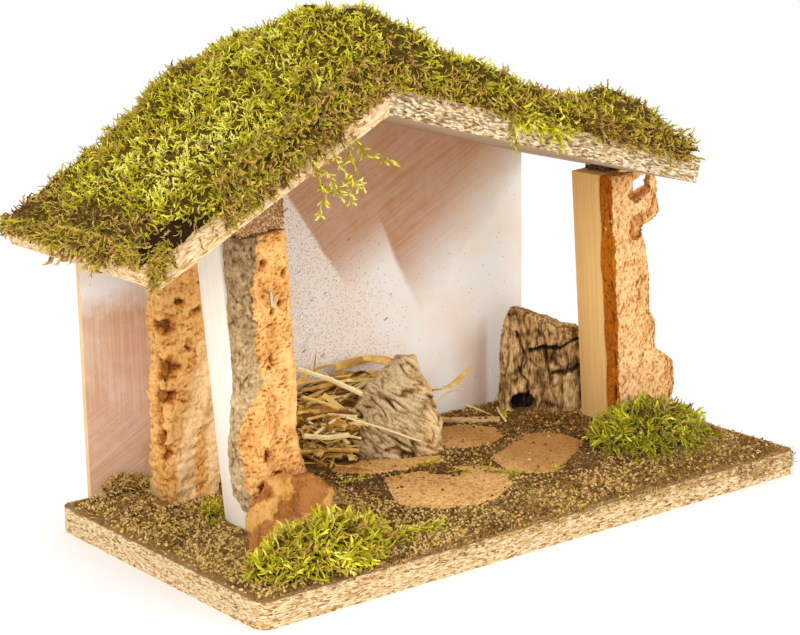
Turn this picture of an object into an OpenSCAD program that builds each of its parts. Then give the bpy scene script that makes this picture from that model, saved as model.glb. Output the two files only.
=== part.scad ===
// Wooden nativity stable: an open shed of chipboard, battens, cork bark and moss.
// X runs to the right, Y runs to the back and Z runs up. The origin is the centre
// of the underside of the base board, where the stable stands on a table.

/* [Base board] */
// Width of the base board, left to right
base_width = 320; // [290:1:420]
// Depth of the base board, front to back
base_depth = 164; // [156:1:220]
// Thickness of the chipboard of the base
base_thickness = 12; // [8:0.5:19]
// Radius of the rounded corners of the base
base_corner_radius = 6; // [2:0.5:15]

/* [Back wall] */
// Thickness of the hardboard of the back wall
wall_thickness = 3; // [2:0.5:5]
// Distance of the wall from the left edge of the base
wall_left_inset = 15; // [8:1:25]
// Distance of the wall from the right edge of the base
wall_right_inset = 38.5; // [20:0.5:60]

/* [Roof] */
// Height of the ridge's underside above the base board
ridge_height = 183.5; // [150:0.5:240]
// Distance of the ridge to the left of the middle
ridge_offset = 59; // [30:1:80]
// Slope of the short left roof board, in degrees
left_pitch = 26.5; // [15:0.5:35]
// Slope of the long right roof board, in degrees
right_pitch = 15.4; // [8:0.2:22]
// Distance of the left eave beyond the left edge of the base
left_eave_overhang = 16.2; // [8:0.2:30]
// Distance of the right eave from the right edge of the base
right_eave_inset = 32; // [26:0.2:36]
// Thickness of the chipboard of the roof
roof_thickness = 12; // [8:0.5:16]
// Distance of the roof's front edge from the front of the base
roof_setback = 40.5; // [20:0.5:60]

/* [Posts] */
// Width of the post battens, left to right
post_width = 24; // [18:0.5:30]
// Depth of the post battens, front to back
post_depth = 19; // [14:0.5:24]
// Lean of the left post to the left, in degrees
left_post_lean = 4.6; // [0:0.2:7]
// Lean of the right post to the left, in degrees
right_post_lean = 3.6; // [0:0.2:6]
// Distance of the left post's foot from the left edge of the base
left_post_inset = 44.5; // [40:0.5:52]
// Distance of the right post's foot from the right edge of the base
right_post_inset = 39.5; // [38:0.5:44]

/* [Cork and bark] */
// Width of the cork on the left post
left_cork_width = 30; // [24:0.5:38]
// Thickness of the cork on the left post
left_cork_depth = 14; // [8:0.5:18]
// Room between the top of the cork on the left post and the roof
left_cork_gap = 21; // [14:0.5:50]
// Width of the cork on the right post at its foot
right_cork_width = 45; // [36:0.5:56]
// Thickness of the cork on the right post
right_cork_depth = 11; // [7:0.5:16]
// Width of the cork slab behind the left post
rear_cork_width = 40; // [30:0.5:50]
// Thickness of the cork slab behind the left post
rear_cork_depth = 14; // [8:0.5:18]
// Distance of the cork slab behind the left post from the wall
rear_cork_gap = 21; // [16:0.5:30]
// Depth of the bark block beside the right post
block_depth = 17; // [10:0.5:20]
// Height of the bark block beside the right post
block_height = 52; // [35:0.5:75]
// Diameter of the knot hole in the bark block
knot_diameter = 12; // [6:0.5:15]
// Width of the bark piece in the middle of the floor
wedge_width = 50; // [35:0.5:56]
// Depth of the bark piece in the middle of the floor
wedge_depth = 24; // [16:0.5:26]
// Height of the bark piece in the middle of the floor
wedge_height = 48; // [30:0.5:70]

/* [Floor] */
// Thickness of the cork flagstones
flagstone_thickness = 2; // [1:0.1:4]
// Thickness of the crumbs of dried moss on the base
litter_thickness = 1.2; // [0.8:0.1:2]
// Height of the heap of straw
straw_height = 42; // [28:1:48]
// Thickness of one stalk of straw
stalk_thickness = 2.6; // [1.6:0.1:4]

/* [Moss] */
// Thickness of the moss at the eaves
moss_edge_thickness = 8; // [5:0.5:14]
// Thickness of the moss at the ridge
moss_ridge_thickness = 30; // [14:0.5:36]
// How far the moss hangs over the edges of the roof
moss_overhang = 4; // [1:0.5:8]

/* [Fasteners] */
// Diameter of the nails' shanks
nail_diameter = 2; // [1.6:0.1:3]
// Length of the nails
nail_length = 32; // [28:1:36]
// Width of the staple's crown
staple_width = 6; // [4:0.5:10]

/* [Hidden] */

// Room between pieces with curved or rough faces
clearance = 0.3;
// Room between the crumbs and the pieces that they lie round
litter_room = 0.5;
// Cuts run this far past the faces that they cut
overrun = 5;
$fn = 48;

// Edges and levels of the base board
left_x = -base_width / 2;
right_x = base_width / 2;
front_y = -base_depth / 2;
back_y = base_depth / 2;
floor_z = base_thickness;

// Back wall
wall_left = left_x + wall_left_inset;
wall_right = right_x - wall_right_inset;
wall_front = back_y - wall_thickness;

// Roof boards: the ridge, the eaves and the line where the two boards meet
ridge_x = -ridge_offset;
ridge_z = floor_z + ridge_height;
roof_front = front_y + roof_setback;
roof_depth = back_y - roof_front;
mitre_shift = roof_thickness * (1 / cos(right_pitch) - 1 / cos(left_pitch))
    / (tan(left_pitch) + tan(right_pitch));
roof_crown_x = ridge_x + mitre_shift;
left_eave_x = left_x - left_eave_overhang;
right_eave_x = right_x - right_eave_inset;
left_eave = [left_eave_x, roof_under(left_eave_x)];
right_eave = [right_eave_x, roof_under(right_eave_x)];

function roof_under(x) = ridge_z
    - (x < ridge_x ? (ridge_x - x) * tan(left_pitch) : (x - ridge_x) * tan(right_pitch));

function roof_top(x) = x < roof_crown_x
    ? ridge_z + roof_thickness / cos(left_pitch) - (ridge_x - x) * tan(left_pitch)
    : ridge_z + roof_thickness / cos(right_pitch) - (x - ridge_x) * tan(right_pitch);

// Posts: their feet, the line of their front faces and the right post's top
left_post_x = left_x + left_post_inset;
right_post_x = right_x - right_post_inset;
left_post_front_share = -0.052;
right_post_front_share = 0.067;
left_post_y = left_post_front_share * base_depth;
right_post_y = right_post_front_share * base_depth;
left_foot = [left_post_x, left_post_y, left_post_lean];
right_foot = [right_post_x, right_post_y, right_post_lean];

// A place on a leaning post: across it by u and up it by w, seen from the front
function on_post(foot, u, w) = [
    foot[0] + u * cos(foot[2]) - w * sin(foot[2]),
    floor_z + u * sin(foot[2]) + w * cos(foot[2])
];

// The left cork ends below the roof by its gap, measured at the middle of its width
cork_foot_gap_share = 0.06;
left_cork_middle = left_cork_width / 2;
left_cork_top = (ridge_height - left_cork_gap - left_cork_middle * sin(left_post_lean)
    - (ridge_x - left_post_x - left_cork_middle * cos(left_post_lean)) * tan(left_pitch))
    / (cos(left_post_lean) + sin(left_post_lean) * tan(left_pitch));
left_cork_length = left_cork_top / (1 + cork_foot_gap_share);

// The right post is sawn square and meets the roof at the eave, or at its own corner
right_corner_x = (right_post_x + post_width / cos(right_post_lean)
    - (ridge_height + ridge_x * tan(right_pitch)) * tan(right_post_lean))
    / (1 - tan(right_pitch) * tan(right_post_lean));
right_contact_x = min(right_eave[0], right_corner_x);
function right_post_top(x) = roof_under(right_contact_x)
    + (x - right_contact_x) * tan(right_post_lean);
right_post_length = (right_post_top(right_post_x) - floor_z) * cos(right_post_lean);

// Cork slab behind the left post
rear_cork_x_share = -0.4;
rear_cork_x = rear_cork_x_share * base_width;
rear_cork_y = wall_front - rear_cork_gap - rear_cork_depth;

// Outline of a slab of cork or bark, seen along its length, in shares of its
// width and thickness: from the back left corner round the front to the back right
sawn_slab_shares = [
    [0, 0], [0, 0.5], [0.01, 0.9], [0.08, 0.97], [0.2, 1], [0.33, 0.97], [0.46, 1],
    [0.6, 0.98], [0.73, 1], [0.86, 0.96], [0.96, 0.85], [1, 0.5], [1, 0]
];
bark_slab_shares = [
    [0, 0], [-0.02, 0.35], [0.03, 0.6], [0.12, 0.8], [0.24, 0.95], [0.36, 1],
    [0.5, 0.98], [0.64, 1], [0.78, 0.98], [0.9, 0.97], [0.98, 0.9], [1, 0.5], [1, 0]
];

// Left and right edges of each cork slab, in shares of its width, by share of height
left_cork_shares = [
    [0, 0.1, 0.9], [0.04, -0.1, 0.96], [0.1, -0.22, 0.95], [0.2, -0.25, 0.87],
    [0.3, -0.21, 0.82], [0.4, -0.1, 0.85], [0.5, -0.03, 0.88], [0.6, 0, 0.9],
    [0.7, -0.01, 0.92], [0.8, 0.02, 0.94], [0.9, 0.03, 0.96], [1, 0.06, 0.95]
];
right_cork_shares = [
    [0, 0.03, 0.8], [0.1, 0, 0.97], [0.2, 0.01, 0.94], [0.24, 0.02, 0.8],
    [0.28, 0.02, 0.63], [0.39, 0, 0.66], [0.44, 0.01, 0.57], [0.57, 0.01, 0.59],
    [0.65, -0.02, 0.55], [0.7, -0.01, 0.54], [0.75, 0.01, 0.48], [0.785, 0.02, 0.53],
    [0.8, 0.02, 0.72], [0.82, 0.02, 0.79], [0.88, 0.01, 0.75], [0.94, 0.01, 0.75],
    [1, 0.02, 0.68]
];
rear_cork_shares = [
    [0, 0.18, 0.84], [0.06, 0.1, 0.9], [0.14, 0.05, 0.96], [0.24, 0.1, 1],
    [0.34, 0.07, 0.97], [0.46, 0.14, 0.92], [0.58, 0.09, 0.96], [0.7, 0.15, 0.9],
    [0.82, 0.12, 0.95], [0.92, 0.16, 1], [1, 0.14, 0.92]
];

// Outline of a lump of bark, seen from above, in shares of its half width and half depth
lump_shares = [
    [-1, -0.7], [-0.84, -0.95], [-0.5, -0.9], [-0.2, -1], [0.15, -0.92], [0.5, -1],
    [0.82, -0.94], [1, -0.72], [0.96, -0.2], [1, 0.3], [0.9, 0.8], [0.6, 0.96],
    [0.2, 0.9], [-0.2, 1], [-0.6, 0.93], [-0.9, 0.84], [-1, 0.3], [-0.95, -0.2]
];

// Outline of the bark piece on the floor, with its corner to the front
wedge_outline_shares = [
    [-1, 0.2], [-0.84, -0.1], [-0.6, -0.42], [-0.34, -0.8], [-0.06, -1], [0.2, -0.96],
    [0.5, -0.78], [0.78, -0.56], [1, -0.2], [0.98, 0.3], [0.86, 0.76], [0.6, 1],
    [0.2, 0.92], [-0.2, 1], [-0.6, 0.94], [-0.88, 0.86], [-0.96, 0.6]
];

// Lumps of bark: height, sideways shift, backward shift, width and depth, all in shares
block_shares = [
    [0, 0, 0, 0.97, 0.96], [0.12, 0, 0, 1, 1], [0.3, 0, 0, 0.98, 0.94],
    [0.5, 0.01, 0.02, 0.98, 1], [0.68, 0.02, 0, 0.95, 0.93], [0.84, 0.03, 0, 0.92, 0.98],
    [0.95, 0.04, 0.02, 0.88, 0.85], [1, 0.04, 0.04, 0.82, 0.6]
];
wedge_shares = [
    [0, 0, 0, 1, 1], [0.14, 0, 0, 0.98, 0.92], [0.3, -0.02, 0.06, 0.96, 0.84],
    [0.46, -0.04, 0.14, 0.86, 0.74], [0.6, 0, 0.2, 0.72, 0.64], [0.74, 0.04, 0.28, 0.54, 0.54],
    [0.88, 0.1, 0.34, 0.36, 0.42], [1, 0.14, 0.38, 0.2, 0.26]
];
foot_bark_shares = [
    [0, 0, 0, 1, 1], [0.2, -0.02, 0.04, 0.96, 0.94], [0.45, 0.02, 0.14, 0.9, 0.82],
    [0.7, 0.08, 0.26, 0.78, 0.68], [0.88, 0.1, 0.36, 0.66, 0.56], [1, 0.1, 0.42, 0.5, 0.44]
];

// Outlines of the flagstones, in shares of their own width and depth
front_stone_shares = [
    [0.03, 0.98], [0.3, 0.96], [0.6, 0.9], [0.82, 0.82], [0.98, 0.66], [1, 0.46],
    [0.86, 0.2], [0.6, 0.02], [0.4, 0], [0.2, 0.08], [0.04, 0.28], [0, 0.6]
];
right_stone_shares = [
    [0, 0.4], [0.1, 0.72], [0.3, 0.8], [0.62, 0.98], [0.86, 1], [1, 0.8], [0.96, 0.4],
    [0.84, 0.12], [0.6, 0], [0.3, 0.08], [0.08, 0.2]
];
left_stone_shares = [
    [0, 0.9], [0.12, 1], [0.4, 0.72], [0.7, 0.46], [1, 0.22], [0.92, 0], [0.6, 0.04],
    [0.24, 0.2], [0.04, 0.5]
];
back_stone_shares = [
    [0, 0.3], [0.14, 0.8], [0.4, 1], [0.78, 0.84], [1, 0.5], [0.84, 0.14], [0.5, 0],
    [0.14, 0.06]
];

// Closed skin through rings of points, with each end closed round its centre
module skin(rings) {
    n = len(rings[0]);
    m = len(rings);
    points = [for (ring = rings) each ring,
              middle(rings[0]), middle(rings[m - 1])];
    sides = [for (i = [0 : m - 2], j = [0 : n - 1])
        let (a = i * n + j, b = i * n + (j + 1) % n)
        each [[a, b, b + n], [a, b + n, a + n]]];
    ends = [for (j = [0 : n - 1])
        let (k = (j + 1) % n, top = (m - 1) * n)
        each [[m * n, k, j], [m * n + 1, top + j, top + k]]];
    polyhedron(points = points, faces = [each sides, each ends], convexity = 6);
}

function middle(ring) = [for (axis = [0 : 2]) sum([for (p = ring) p[axis]]) / len(ring)];

function sum(values, i = 0) = i < len(values) ? values[i] + sum(values, i + 1) : 0;

// Evenly spread pits of a rough face, each from 0 to 1, the same every time
function pits(count, seed) = rands(0, 1, count, seed);

// Nearer to the back of a slab than this share of its thickness there are no pits
smooth_back_share = 0.2;

// Rings up a slab: its back face lies at y = 0 and its front is pitted by a share
function slab_rings(profile, edges, width, depth, height, pit_share, seed) =
    let (n = len(profile), grit = pits(len(edges) * n, seed))
    [for (i = [0 : len(edges) - 1])
        [for (j = [0 : n - 1])
            let (left = width * edges[i][1], right = width * edges[i][2],
                 pit = profile[j][1] > smooth_back_share ? pit_share * grit[i * n + j] : 0)
            [left + (right - left) * profile[j][0],
             -depth * profile[j][1] * (1 - pit),
             height * edges[i][0]]]];

// Rings up a lump with the given outline, pitted inwards by a share of its size
function lump_rings(outline, rows, width, depth, height, pit_share, seed) =
    let (n = len(outline), grit = pits(len(rows) * n, seed))
    [for (i = [0 : len(rows) - 1])
        [for (j = [0 : n - 1])
            let (row = rows[i], inward = 1 - pit_share * grit[i * n + j])
            [width * row[1] + width / 2 * row[3] * inward * outline[j][0],
             depth * row[2] + depth / 2 * row[4] * inward * outline[j][1],
             height * row[0]]]];

// A profile seen from the front, carried back to front from y_back over a depth
module across(y_back, depth) {
    translate([0, y_back, 0])
        rotate([90, 0, 0])
            linear_extrude(depth)
                children();
}

// Leaning frame of a post, with its foot on the base board
module leaning(foot) {
    translate([foot[0], foot[1], floor_z])
        rotate([0, -foot[2], 0])
            children();
}

// Base board

module base_outline() {
    reach = [base_width, base_depth] - 2 * base_corner_radius * [1, 1];
    for (side_x = [-1, 1], side_y = [-1, 1])
        translate([side_x * reach[0], side_y * reach[1]] / 2)
            circle(base_corner_radius);
    square([base_width, reach[1]], center = true);
    square([reach[0], base_depth], center = true);
}

module base_board() {
    color("#e3cda0")
        difference() {
            linear_extrude(base_thickness) base_outline();
            base_nails_at() nail_hole();
        }
}

// Fasteners

nail_head_share = 2.4;
nail_head_thickness_share = 0.6;
nail_head_diameter = nail_head_share * nail_diameter;
nail_head_thickness = nail_head_thickness_share * nail_diameter;
nail_fit = 0.05;

// Nail with its head at the origin, driven along +Z
module nail() {
    cylinder(d = nail_head_diameter, h = nail_head_thickness);
    cylinder(d = nail_diameter, h = nail_length - nail_diameter);
    translate([0, 0, nail_length - nail_diameter])
        cylinder(d1 = nail_diameter, d2 = nail_diameter / 4, h = nail_diameter);
}

module nail_hole() {
    translate([0, 0, -overrun])
        cylinder(d = nail_head_diameter + 2 * nail_fit, h = overrun + nail_head_thickness);
    cylinder(d = nail_diameter + 2 * nail_fit, h = nail_length + nail_fit);
}

// Two nails go up into each post, side by side
post_nail_shares = [0.3, 0.7];

module base_nails_at() {
    for (foot = [[left_post_x, left_post_y], [right_post_x, right_post_y]], share = post_nail_shares)
        translate([foot[0] + post_width * share, foot[1] + post_depth / 2, 0])
            children();
}

module base_nails() {
    color("silver") base_nails_at() nail();
}

// Two nails go down through each roof board into the top of a post
left_nail_share = 0.42;
left_nail_rise_share = 0.8;
right_nail_inset_share = 0.1;

module roof_nail_pair(x, pitch, y) {
    for (share = [0.25, 0.75])
        translate([x, y + post_depth * share, roof_top(x)])
            rotate([0, 180 + pitch, 0])
                children();
}

module left_roof_nails_at() {
    top = on_post(left_foot, post_width * left_nail_share,
        ridge_height * left_nail_rise_share);
    roof_nail_pair(top[0] - roof_thickness * tan(left_pitch) / 2, -left_pitch, left_post_y)
        children();
}

module right_roof_nails_at() {
    roof_nail_pair(right_contact_x - roof_thickness * right_nail_inset_share,
        right_pitch, right_post_y)
        children();
}

module roof_nails() {
    color("silver") {
        left_roof_nails_at() nail();
        right_roof_nails_at() nail();
    }
}

// Staple across the cork of the left post, driven upright beside the cut edge
staple_wire = 1;
staple_leg = 8;
staple_height_share = 0.84;
staple_across_share = 0.47;

module staple_at() {
    leaning(left_foot - [0, left_cork_depth, 0])
        translate([left_cork_width * staple_across_share, 0, left_cork_length * staple_height_share])
            children();
}

// Crown and two legs, grown by the fit for the holes that they make
module staple(fit = 0) {
    wire = staple_wire + 2 * fit;
    translate([-wire / 2, fit - wire, -staple_width / 2 - fit])
        cube([wire, wire, staple_width + 2 * fit]);
    for (side = [-1, 1])
        translate([-wire / 2, fit - wire, side * (staple_width - staple_wire) / 2 - wire / 2])
            cube([wire, staple_leg + 2 * fit, wire]);
}

module cork_staple() {
    color("whitesmoke") staple_at() staple();
}

// Back wall and roof

module back_wall() {
    color("#dcc4b4")
        across(back_y, wall_thickness)
            polygon([
                [wall_left, floor_z],
                [wall_right, floor_z],
                [wall_right, roof_under(wall_right)],
                [ridge_x, ridge_z],
                [wall_left, roof_under(wall_left)]
            ]);
}

module roof_board_left() {
    color("#e3cda0")
        difference() {
            across(back_y, roof_depth)
                polygon([
                    [ridge_x, ridge_z],
                    [roof_crown_x, roof_top(roof_crown_x)],
                    [left_eave[0] - roof_thickness * sin(left_pitch),
                     left_eave[1] + roof_thickness * cos(left_pitch)],
                    left_eave
                ]);
            left_roof_nails_at() nail_hole();
        }
}

module roof_board_right() {
    color("#e3cda0")
        difference() {
            across(back_y, roof_depth)
                polygon([
                    [ridge_x, ridge_z],
                    right_eave,
                    [right_eave[0] + roof_thickness * sin(right_pitch),
                     right_eave[1] + roof_thickness * cos(right_pitch)],
                    [roof_crown_x, roof_top(roof_crown_x)]
                ]);
            right_roof_nails_at() nail_hole();
        }
}

// Posts

module batten(foot) {
    leaning(foot)
        translate([0, 0, -overrun])
            cube([post_width, post_depth, ridge_height + 2 * overrun]);
}

module below_floor() {
    translate([left_x, front_y, floor_z - ridge_height])
        cube([base_width, base_depth, ridge_height]);
}

module above_roof() {
    across(back_y, base_depth)
        polygon([
            [left_x, roof_under(left_x)],
            [ridge_x, ridge_z],
            [right_x, roof_under(right_x)],
            [right_x, 2 * ridge_z],
            [left_x, 2 * ridge_z]
        ]);
}

module above_right_post() {
    across(back_y, base_depth)
        polygon([
            [0, right_post_top(0)],
            [right_x, right_post_top(right_x)],
            [right_x, 2 * ridge_z],
            [0, 2 * ridge_z]
        ]);
}

module left_post() {
    color("#f2e3c4")
        difference() {
            batten(left_foot);
            below_floor();
            above_roof();
            base_nails_at() nail_hole();
            left_roof_nails_at() nail_hole();
        }
}

module right_post() {
    color("#d9b476")
        difference() {
            batten(right_foot);
            below_floor();
            above_right_post();
            base_nails_at() nail_hole();
            right_roof_nails_at() nail_hole();
        }
}

// Cork and bark on the posts

cork_pit_share = 0.16;

module left_post_cork() {
    color("#c98f55")
        difference() {
            leaning(left_foot)
                translate([0, 0, left_cork_length * cork_foot_gap_share])
                    skin(slab_rings(bark_slab_shares, left_cork_shares, left_cork_width,
                        left_cork_depth, left_cork_length, cork_pit_share, 11));
            staple_at() staple(nail_fit);
        }
}

// Notch through the top of the right cork, with a horn of cork to its right
notch_shares = [
    [0.54, 1.2], [0.52, 0.99], [0.35, 0.962], [0.31, 0.933], [0.23, 0.928], [0.24, 0.908],
    [0.38, 0.878], [0.51, 0.902], [0.6, 0.915], [0.56, 0.95], [0.62, 0.985], [0.63, 1.2]
];
// Behind the horn only the front half of the cork is left
notch_back_shares = [[0.3, 1.2], [0.3, 0.94], [0.5, 0.91], [0.85, 0.93], [0.85, 1.2]];
// Oval hollow below the notch: its middle, half width, half height and depth
hollow_shares = [0.37, 0.782, 0.12, 0.05, 0.45];
hollow_turn = -18;

module right_cork_frame() {
    leaning(right_foot)
        rotate([90, 0, 0])
            children();
}

module right_cork_polygon(shares) {
    polygon([for (p = shares) [p[0] * right_cork_width, p[1] * right_post_length]]);
}

module right_post_cork() {
    color("#d9a066")
        difference() {
            leaning(right_foot)
                skin(slab_rings(sawn_slab_shares, right_cork_shares, right_cork_width,
                    right_cork_depth, right_post_length, cork_pit_share, 23));
            right_cork_frame()
                translate([0, 0, -overrun])
                    linear_extrude(right_cork_depth + 2 * overrun)
                        right_cork_polygon(notch_shares);
            right_cork_frame()
                translate([0, 0, -overrun])
                    linear_extrude(right_cork_depth / 2 + overrun)
                        right_cork_polygon(notch_back_shares);
            right_cork_frame()
                translate([hollow_shares[0] * right_cork_width, hollow_shares[1] * right_post_length,
                           right_cork_depth * (1 - hollow_shares[4])])
                    rotate(hollow_turn)
                        linear_extrude(right_cork_depth)
                            polygon([for (angle = [0 : 20 : 340])
                                [hollow_shares[2] * right_cork_width * cos(angle),
                                 hollow_shares[3] * right_post_length * sin(angle)]]);
            below_floor();
        }
}

// Dark chips of bark fill the room between the cork and the sloping roof

packing_depth_share = 0.8;
packing_setback_share = 0.1;
packing_reach_shares = [0.1, 0.9];
right_packing_share = 0.3;

module left_post_packing() {
    near = on_post(left_foot, left_cork_width * packing_reach_shares[0], left_cork_top);
    far = on_post(left_foot, left_cork_width * packing_reach_shares[1], left_cork_top);
    color("#5f5040")
        across(left_post_y, left_cork_depth * packing_depth_share)
            polygon([
                near,
                far,
                [far[0], roof_under(far[0])],
                [near[0], roof_under(near[0])]
            ]);
}

module right_post_packing() {
    near = on_post(right_foot, post_width * right_packing_share, right_post_length)[0];
    color("#5f5040")
        difference() {
            across(right_post_y + post_depth * (1 - packing_setback_share),
                post_depth * packing_depth_share)
                polygon([
                    [near, right_post_top(near)],
                    [right_contact_x, roof_under(right_contact_x)],
                    [near, roof_under(near)]
                ]);
            right_roof_nails_at() nail_hole();
        }
}

foot_bark_width = 48;
foot_bark_depth = 22;
foot_bark_height = 29;
foot_bark_shift_share = 0.12;

module left_post_foot_bark() {
    color("#a9744a")
        translate([left_post_x + foot_bark_width * foot_bark_shift_share,
                   left_post_y - left_cork_depth - clearance - foot_bark_depth, floor_z])
            skin(against(lump_rings(lump_shares, foot_bark_shares, foot_bark_width, foot_bark_depth,
                foot_bark_height, cork_pit_share, 31), foot_bark_depth));
}

// Rings moved back so that they end in a flat face at y = depth
function against(rings, depth) =
    [for (ring = rings) [for (p = ring) [p[0], min(p[1] + depth / 2, depth), p[2]]]];

// Cork slab behind the left post: it stands on the base and reaches up to the roof
function up_to_roof(rings, foot_x) =
    [for (ring = rings)
        [for (p = ring)
            let (room = roof_under(foot_x + p[0]) - floor_z)
            [p[0], p[1], p[2] * room / ridge_height]]];

module rear_cork() {
    color("#cf9457")
        translate([rear_cork_x, rear_cork_y + rear_cork_depth, floor_z])
            skin(up_to_roof(slab_rings(sawn_slab_shares, rear_cork_shares, rear_cork_width,
                rear_cork_depth, ridge_height, cork_pit_share, 41), rear_cork_x));
}

rear_block_width = 22;
rear_block_depth = 10;
rear_block_height = 8;
rear_block_shift_share = 0.2;

module rear_cork_block() {
    color("#cdb68c")
        translate([rear_cork_x + rear_cork_width * rear_block_shift_share,
                   rear_cork_y + rear_cork_depth, floor_z])
            cube([rear_block_width, rear_block_depth, rear_block_height]);
}

// Bark block beside the right post

block_angle = -40;
// It takes up most of the room from the post to the wall, measured front to back
block_room = wall_front - right_post_y - post_depth;
block_reach_share = 0.843;
block_gap_share = 0.097;
block_width = (block_reach_share * block_room - block_depth * cos(block_angle))
    / sin(-block_angle);
block_shift_share = 0.1;
block_pit_share = 0.08;
block_slope_share = 0.2;
// Middle of the knot hole, and how deep it goes, in shares of the block
knot_shares = [-0.23, 0.1, 0.7];

// Rings lowered to the right by a share of their height
function sloped(rings, width, share) =
    [for (ring = rings) [for (p = ring) [p[0], p[1], p[2] * (1 - share * p[0] / width)]]];

module block_frame() {
    translate([right_post_x + post_width * block_shift_share,
               right_post_y + post_depth + block_room * block_gap_share])
        rotate(block_angle)
            translate([-block_width / 2, block_depth / 2])
                children();
}

module bark_block() {
    color("#8a755c")
        difference() {
            translate([0, 0, floor_z])
                block_frame()
                    skin(sloped(lump_rings(lump_shares, block_shares, block_width, block_depth,
                        block_height, block_pit_share, 53), block_width, block_slope_share));
            translate([0, 0, floor_z])
                block_frame()
                    translate([block_width * knot_shares[0],
                               block_depth * (knot_shares[2] - 0.5), block_height * knot_shares[1]])
                        rotate([90, 0, 0])
                            cylinder(d = knot_diameter, h = block_depth);
        }
}

// Bark piece in the middle of the floor

wedge_angle = -24;
wedge_x_share = 0.017;
wedge_y_share = 0.243;
wedge_pit_share = 0.12;

module wedge_frame() {
    translate([wedge_x_share * base_width, wedge_y_share * base_depth])
        rotate(wedge_angle)
            children();
}

module bark_wedge() {
    color("#8f7f66")
        translate([0, 0, floor_z])
            wedge_frame()
                skin(lump_rings(wedge_outline_shares, wedge_shares, wedge_width, wedge_depth,
                    wedge_height, wedge_pit_share, 61));
}

// Floor: cork flagstones, a thin strip of wood and crumbs of dried moss

module flagstone_outline(place, shares) {
    translate([place[0] * base_width, place[1] * base_depth])
        polygon([for (p = shares) [p[0] * place[2] * base_width, p[1] * place[3] * base_depth]]);
}

// Each flagstone's corner, width and depth, in shares of the base board's
front_stone = [-0.14, -0.285, 0.22, 0.366];
right_stone = [0.085, -0.25, 0.188, 0.366];
left_stone = [-0.12, 0.075, 0.175, 0.232];
back_stone = [0.09, 0.12, 0.125, 0.244];

// The stones are cut to lie against the bark piece, the straw and the moss
module flagstone(place, shares) {
    translate([0, 0, floor_z])
        linear_extrude(flagstone_thickness)
            difference() {
                flagstone_outline(place, shares);
                wedge_foot(clearance);
                mat_outline(left_pile_shares);
                clump_foot(right_clump);
            }
}

module flagstone_front() {
    color("#cfa468") flagstone(front_stone, front_stone_shares);
}

module flagstone_right() {
    color("#cfa468") flagstone(right_stone, right_stone_shares);
}

module flagstone_left() {
    color("#cfa468") flagstone(left_stone, left_stone_shares);
}

module flagstone_back() {
    color("#cfa468") flagstone(back_stone, back_stone_shares);
}

strip_length = 34;
strip_width = 5;
strip_thickness = 3;
strip_place_shares = [0.16, 0.41];
strip_angle = -38;

module strip_frame() {
    translate([strip_place_shares[0] * base_width, strip_place_shares[1] * base_depth])
        rotate(strip_angle)
            children();
}

module floor_strip() {
    color("#c99a4e")
        translate([0, 0, floor_z])
            strip_frame()
                cube([strip_length, strip_width, strip_thickness]);
}

// Crumbs of dried moss glued over the base board, round all that stands on it

litter_edge_shares = [
    0.5, 1.2, 0.7, 1.3, 0.4, 0.9, 0.6, 1.1, 0.3, 1, 0.8, 1.3, 0.6, 1.2, 0.5, 0.9
];
litter_margin = 5;

// Wavy line of points from one corner to the next, drawn inwards by up to the margin
function wavy(from, to, inward, seed) =
    let (n = len(litter_edge_shares))
    [for (k = [0 : n - 1])
        from + (to - from) * (2 * k + 1) / (2 * n)
            + inward * litter_margin * litter_edge_shares[(k + seed) % n]];

module litter_outline() {
    polygon([
        each wavy([left_x, front_y], [right_x, front_y], [0, 1], 0),
        each wavy([right_x, front_y], [right_x, back_y], [-1, 0], 3),
        each wavy([right_x, back_y], [left_x, back_y], [0, -1], 6),
        each wavy([left_x, back_y], [left_x, front_y], [1, 0], 9)
    ]);
}

module wedge_foot(room) {
    wedge_frame()
        polygon([for (p = wedge_outline_shares)
            [p[0] * (wedge_width / 2 + room), p[1] * (wedge_depth / 2 + room)]]);
}

// Upright pieces that stand on the base board, as rectangles: corner, width and depth
left_cork_reach_share = 0.25;
uprights = [
    [[left_post_x, left_post_y], [post_width / cos(left_post_lean), post_depth]],
    [[left_post_x - left_cork_reach_share * left_cork_width, left_post_y - left_cork_depth],
     [(1 + left_cork_reach_share) * left_cork_width, left_cork_depth]],
    [[left_post_x - foot_bark_width * (0.5 - foot_bark_shift_share),
      left_post_y - left_cork_depth - clearance - foot_bark_depth],
     [foot_bark_width, foot_bark_depth]],
    [[right_post_x, right_post_y - right_cork_depth],
     [right_cork_width, right_cork_depth + post_depth]],
    [[rear_cork_x, rear_cork_y], [rear_cork_width, rear_cork_depth + rear_block_depth]],
    [[wall_left, wall_front], [wall_right - wall_left, wall_thickness]]
];

module footprints(room) {
    for (upright = uprights)
        translate(upright[0] - [room, room])
            square(upright[1] + 2 * [room, room]);
    block_frame()
        square([block_width + 2 * room, block_depth + 2 * room], center = true);
    strip_frame()
        translate([-room, -room])
            square([strip_length + 2 * room, strip_width + 2 * room]);
    wedge_foot(room);
}

module ground_litter() {
    color("#7a6a3a")
        translate([0, 0, floor_z])
            linear_extrude(litter_thickness)
                difference() {
                    litter_outline();
                    footprints(litter_room);
                    flagstone_outline(front_stone, front_stone_shares);
                    flagstone_outline(right_stone, right_stone_shares);
                    flagstone_outline(left_stone, left_stone_shares);
                    flagstone_outline(back_stone, back_stone_shares);
                    mat_outline(back_pile_shares);
                    mat_outline(left_pile_shares);
                }
}

// Heap of straw: one pile behind the bark piece and one to the left of it

stalk_sides = 5;
stalk_length = 44;
// Each pile: the middle of its width and its distance from the wall, its width and
// depth, all in shares of the base board's, then its height in shares of the heap's
back_pile_shares = [-0.03, 0, 0.24, 0.11, 1];
left_pile_shares = [-0.096, 0.055, 0.1, 0.195, 0.8];
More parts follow.
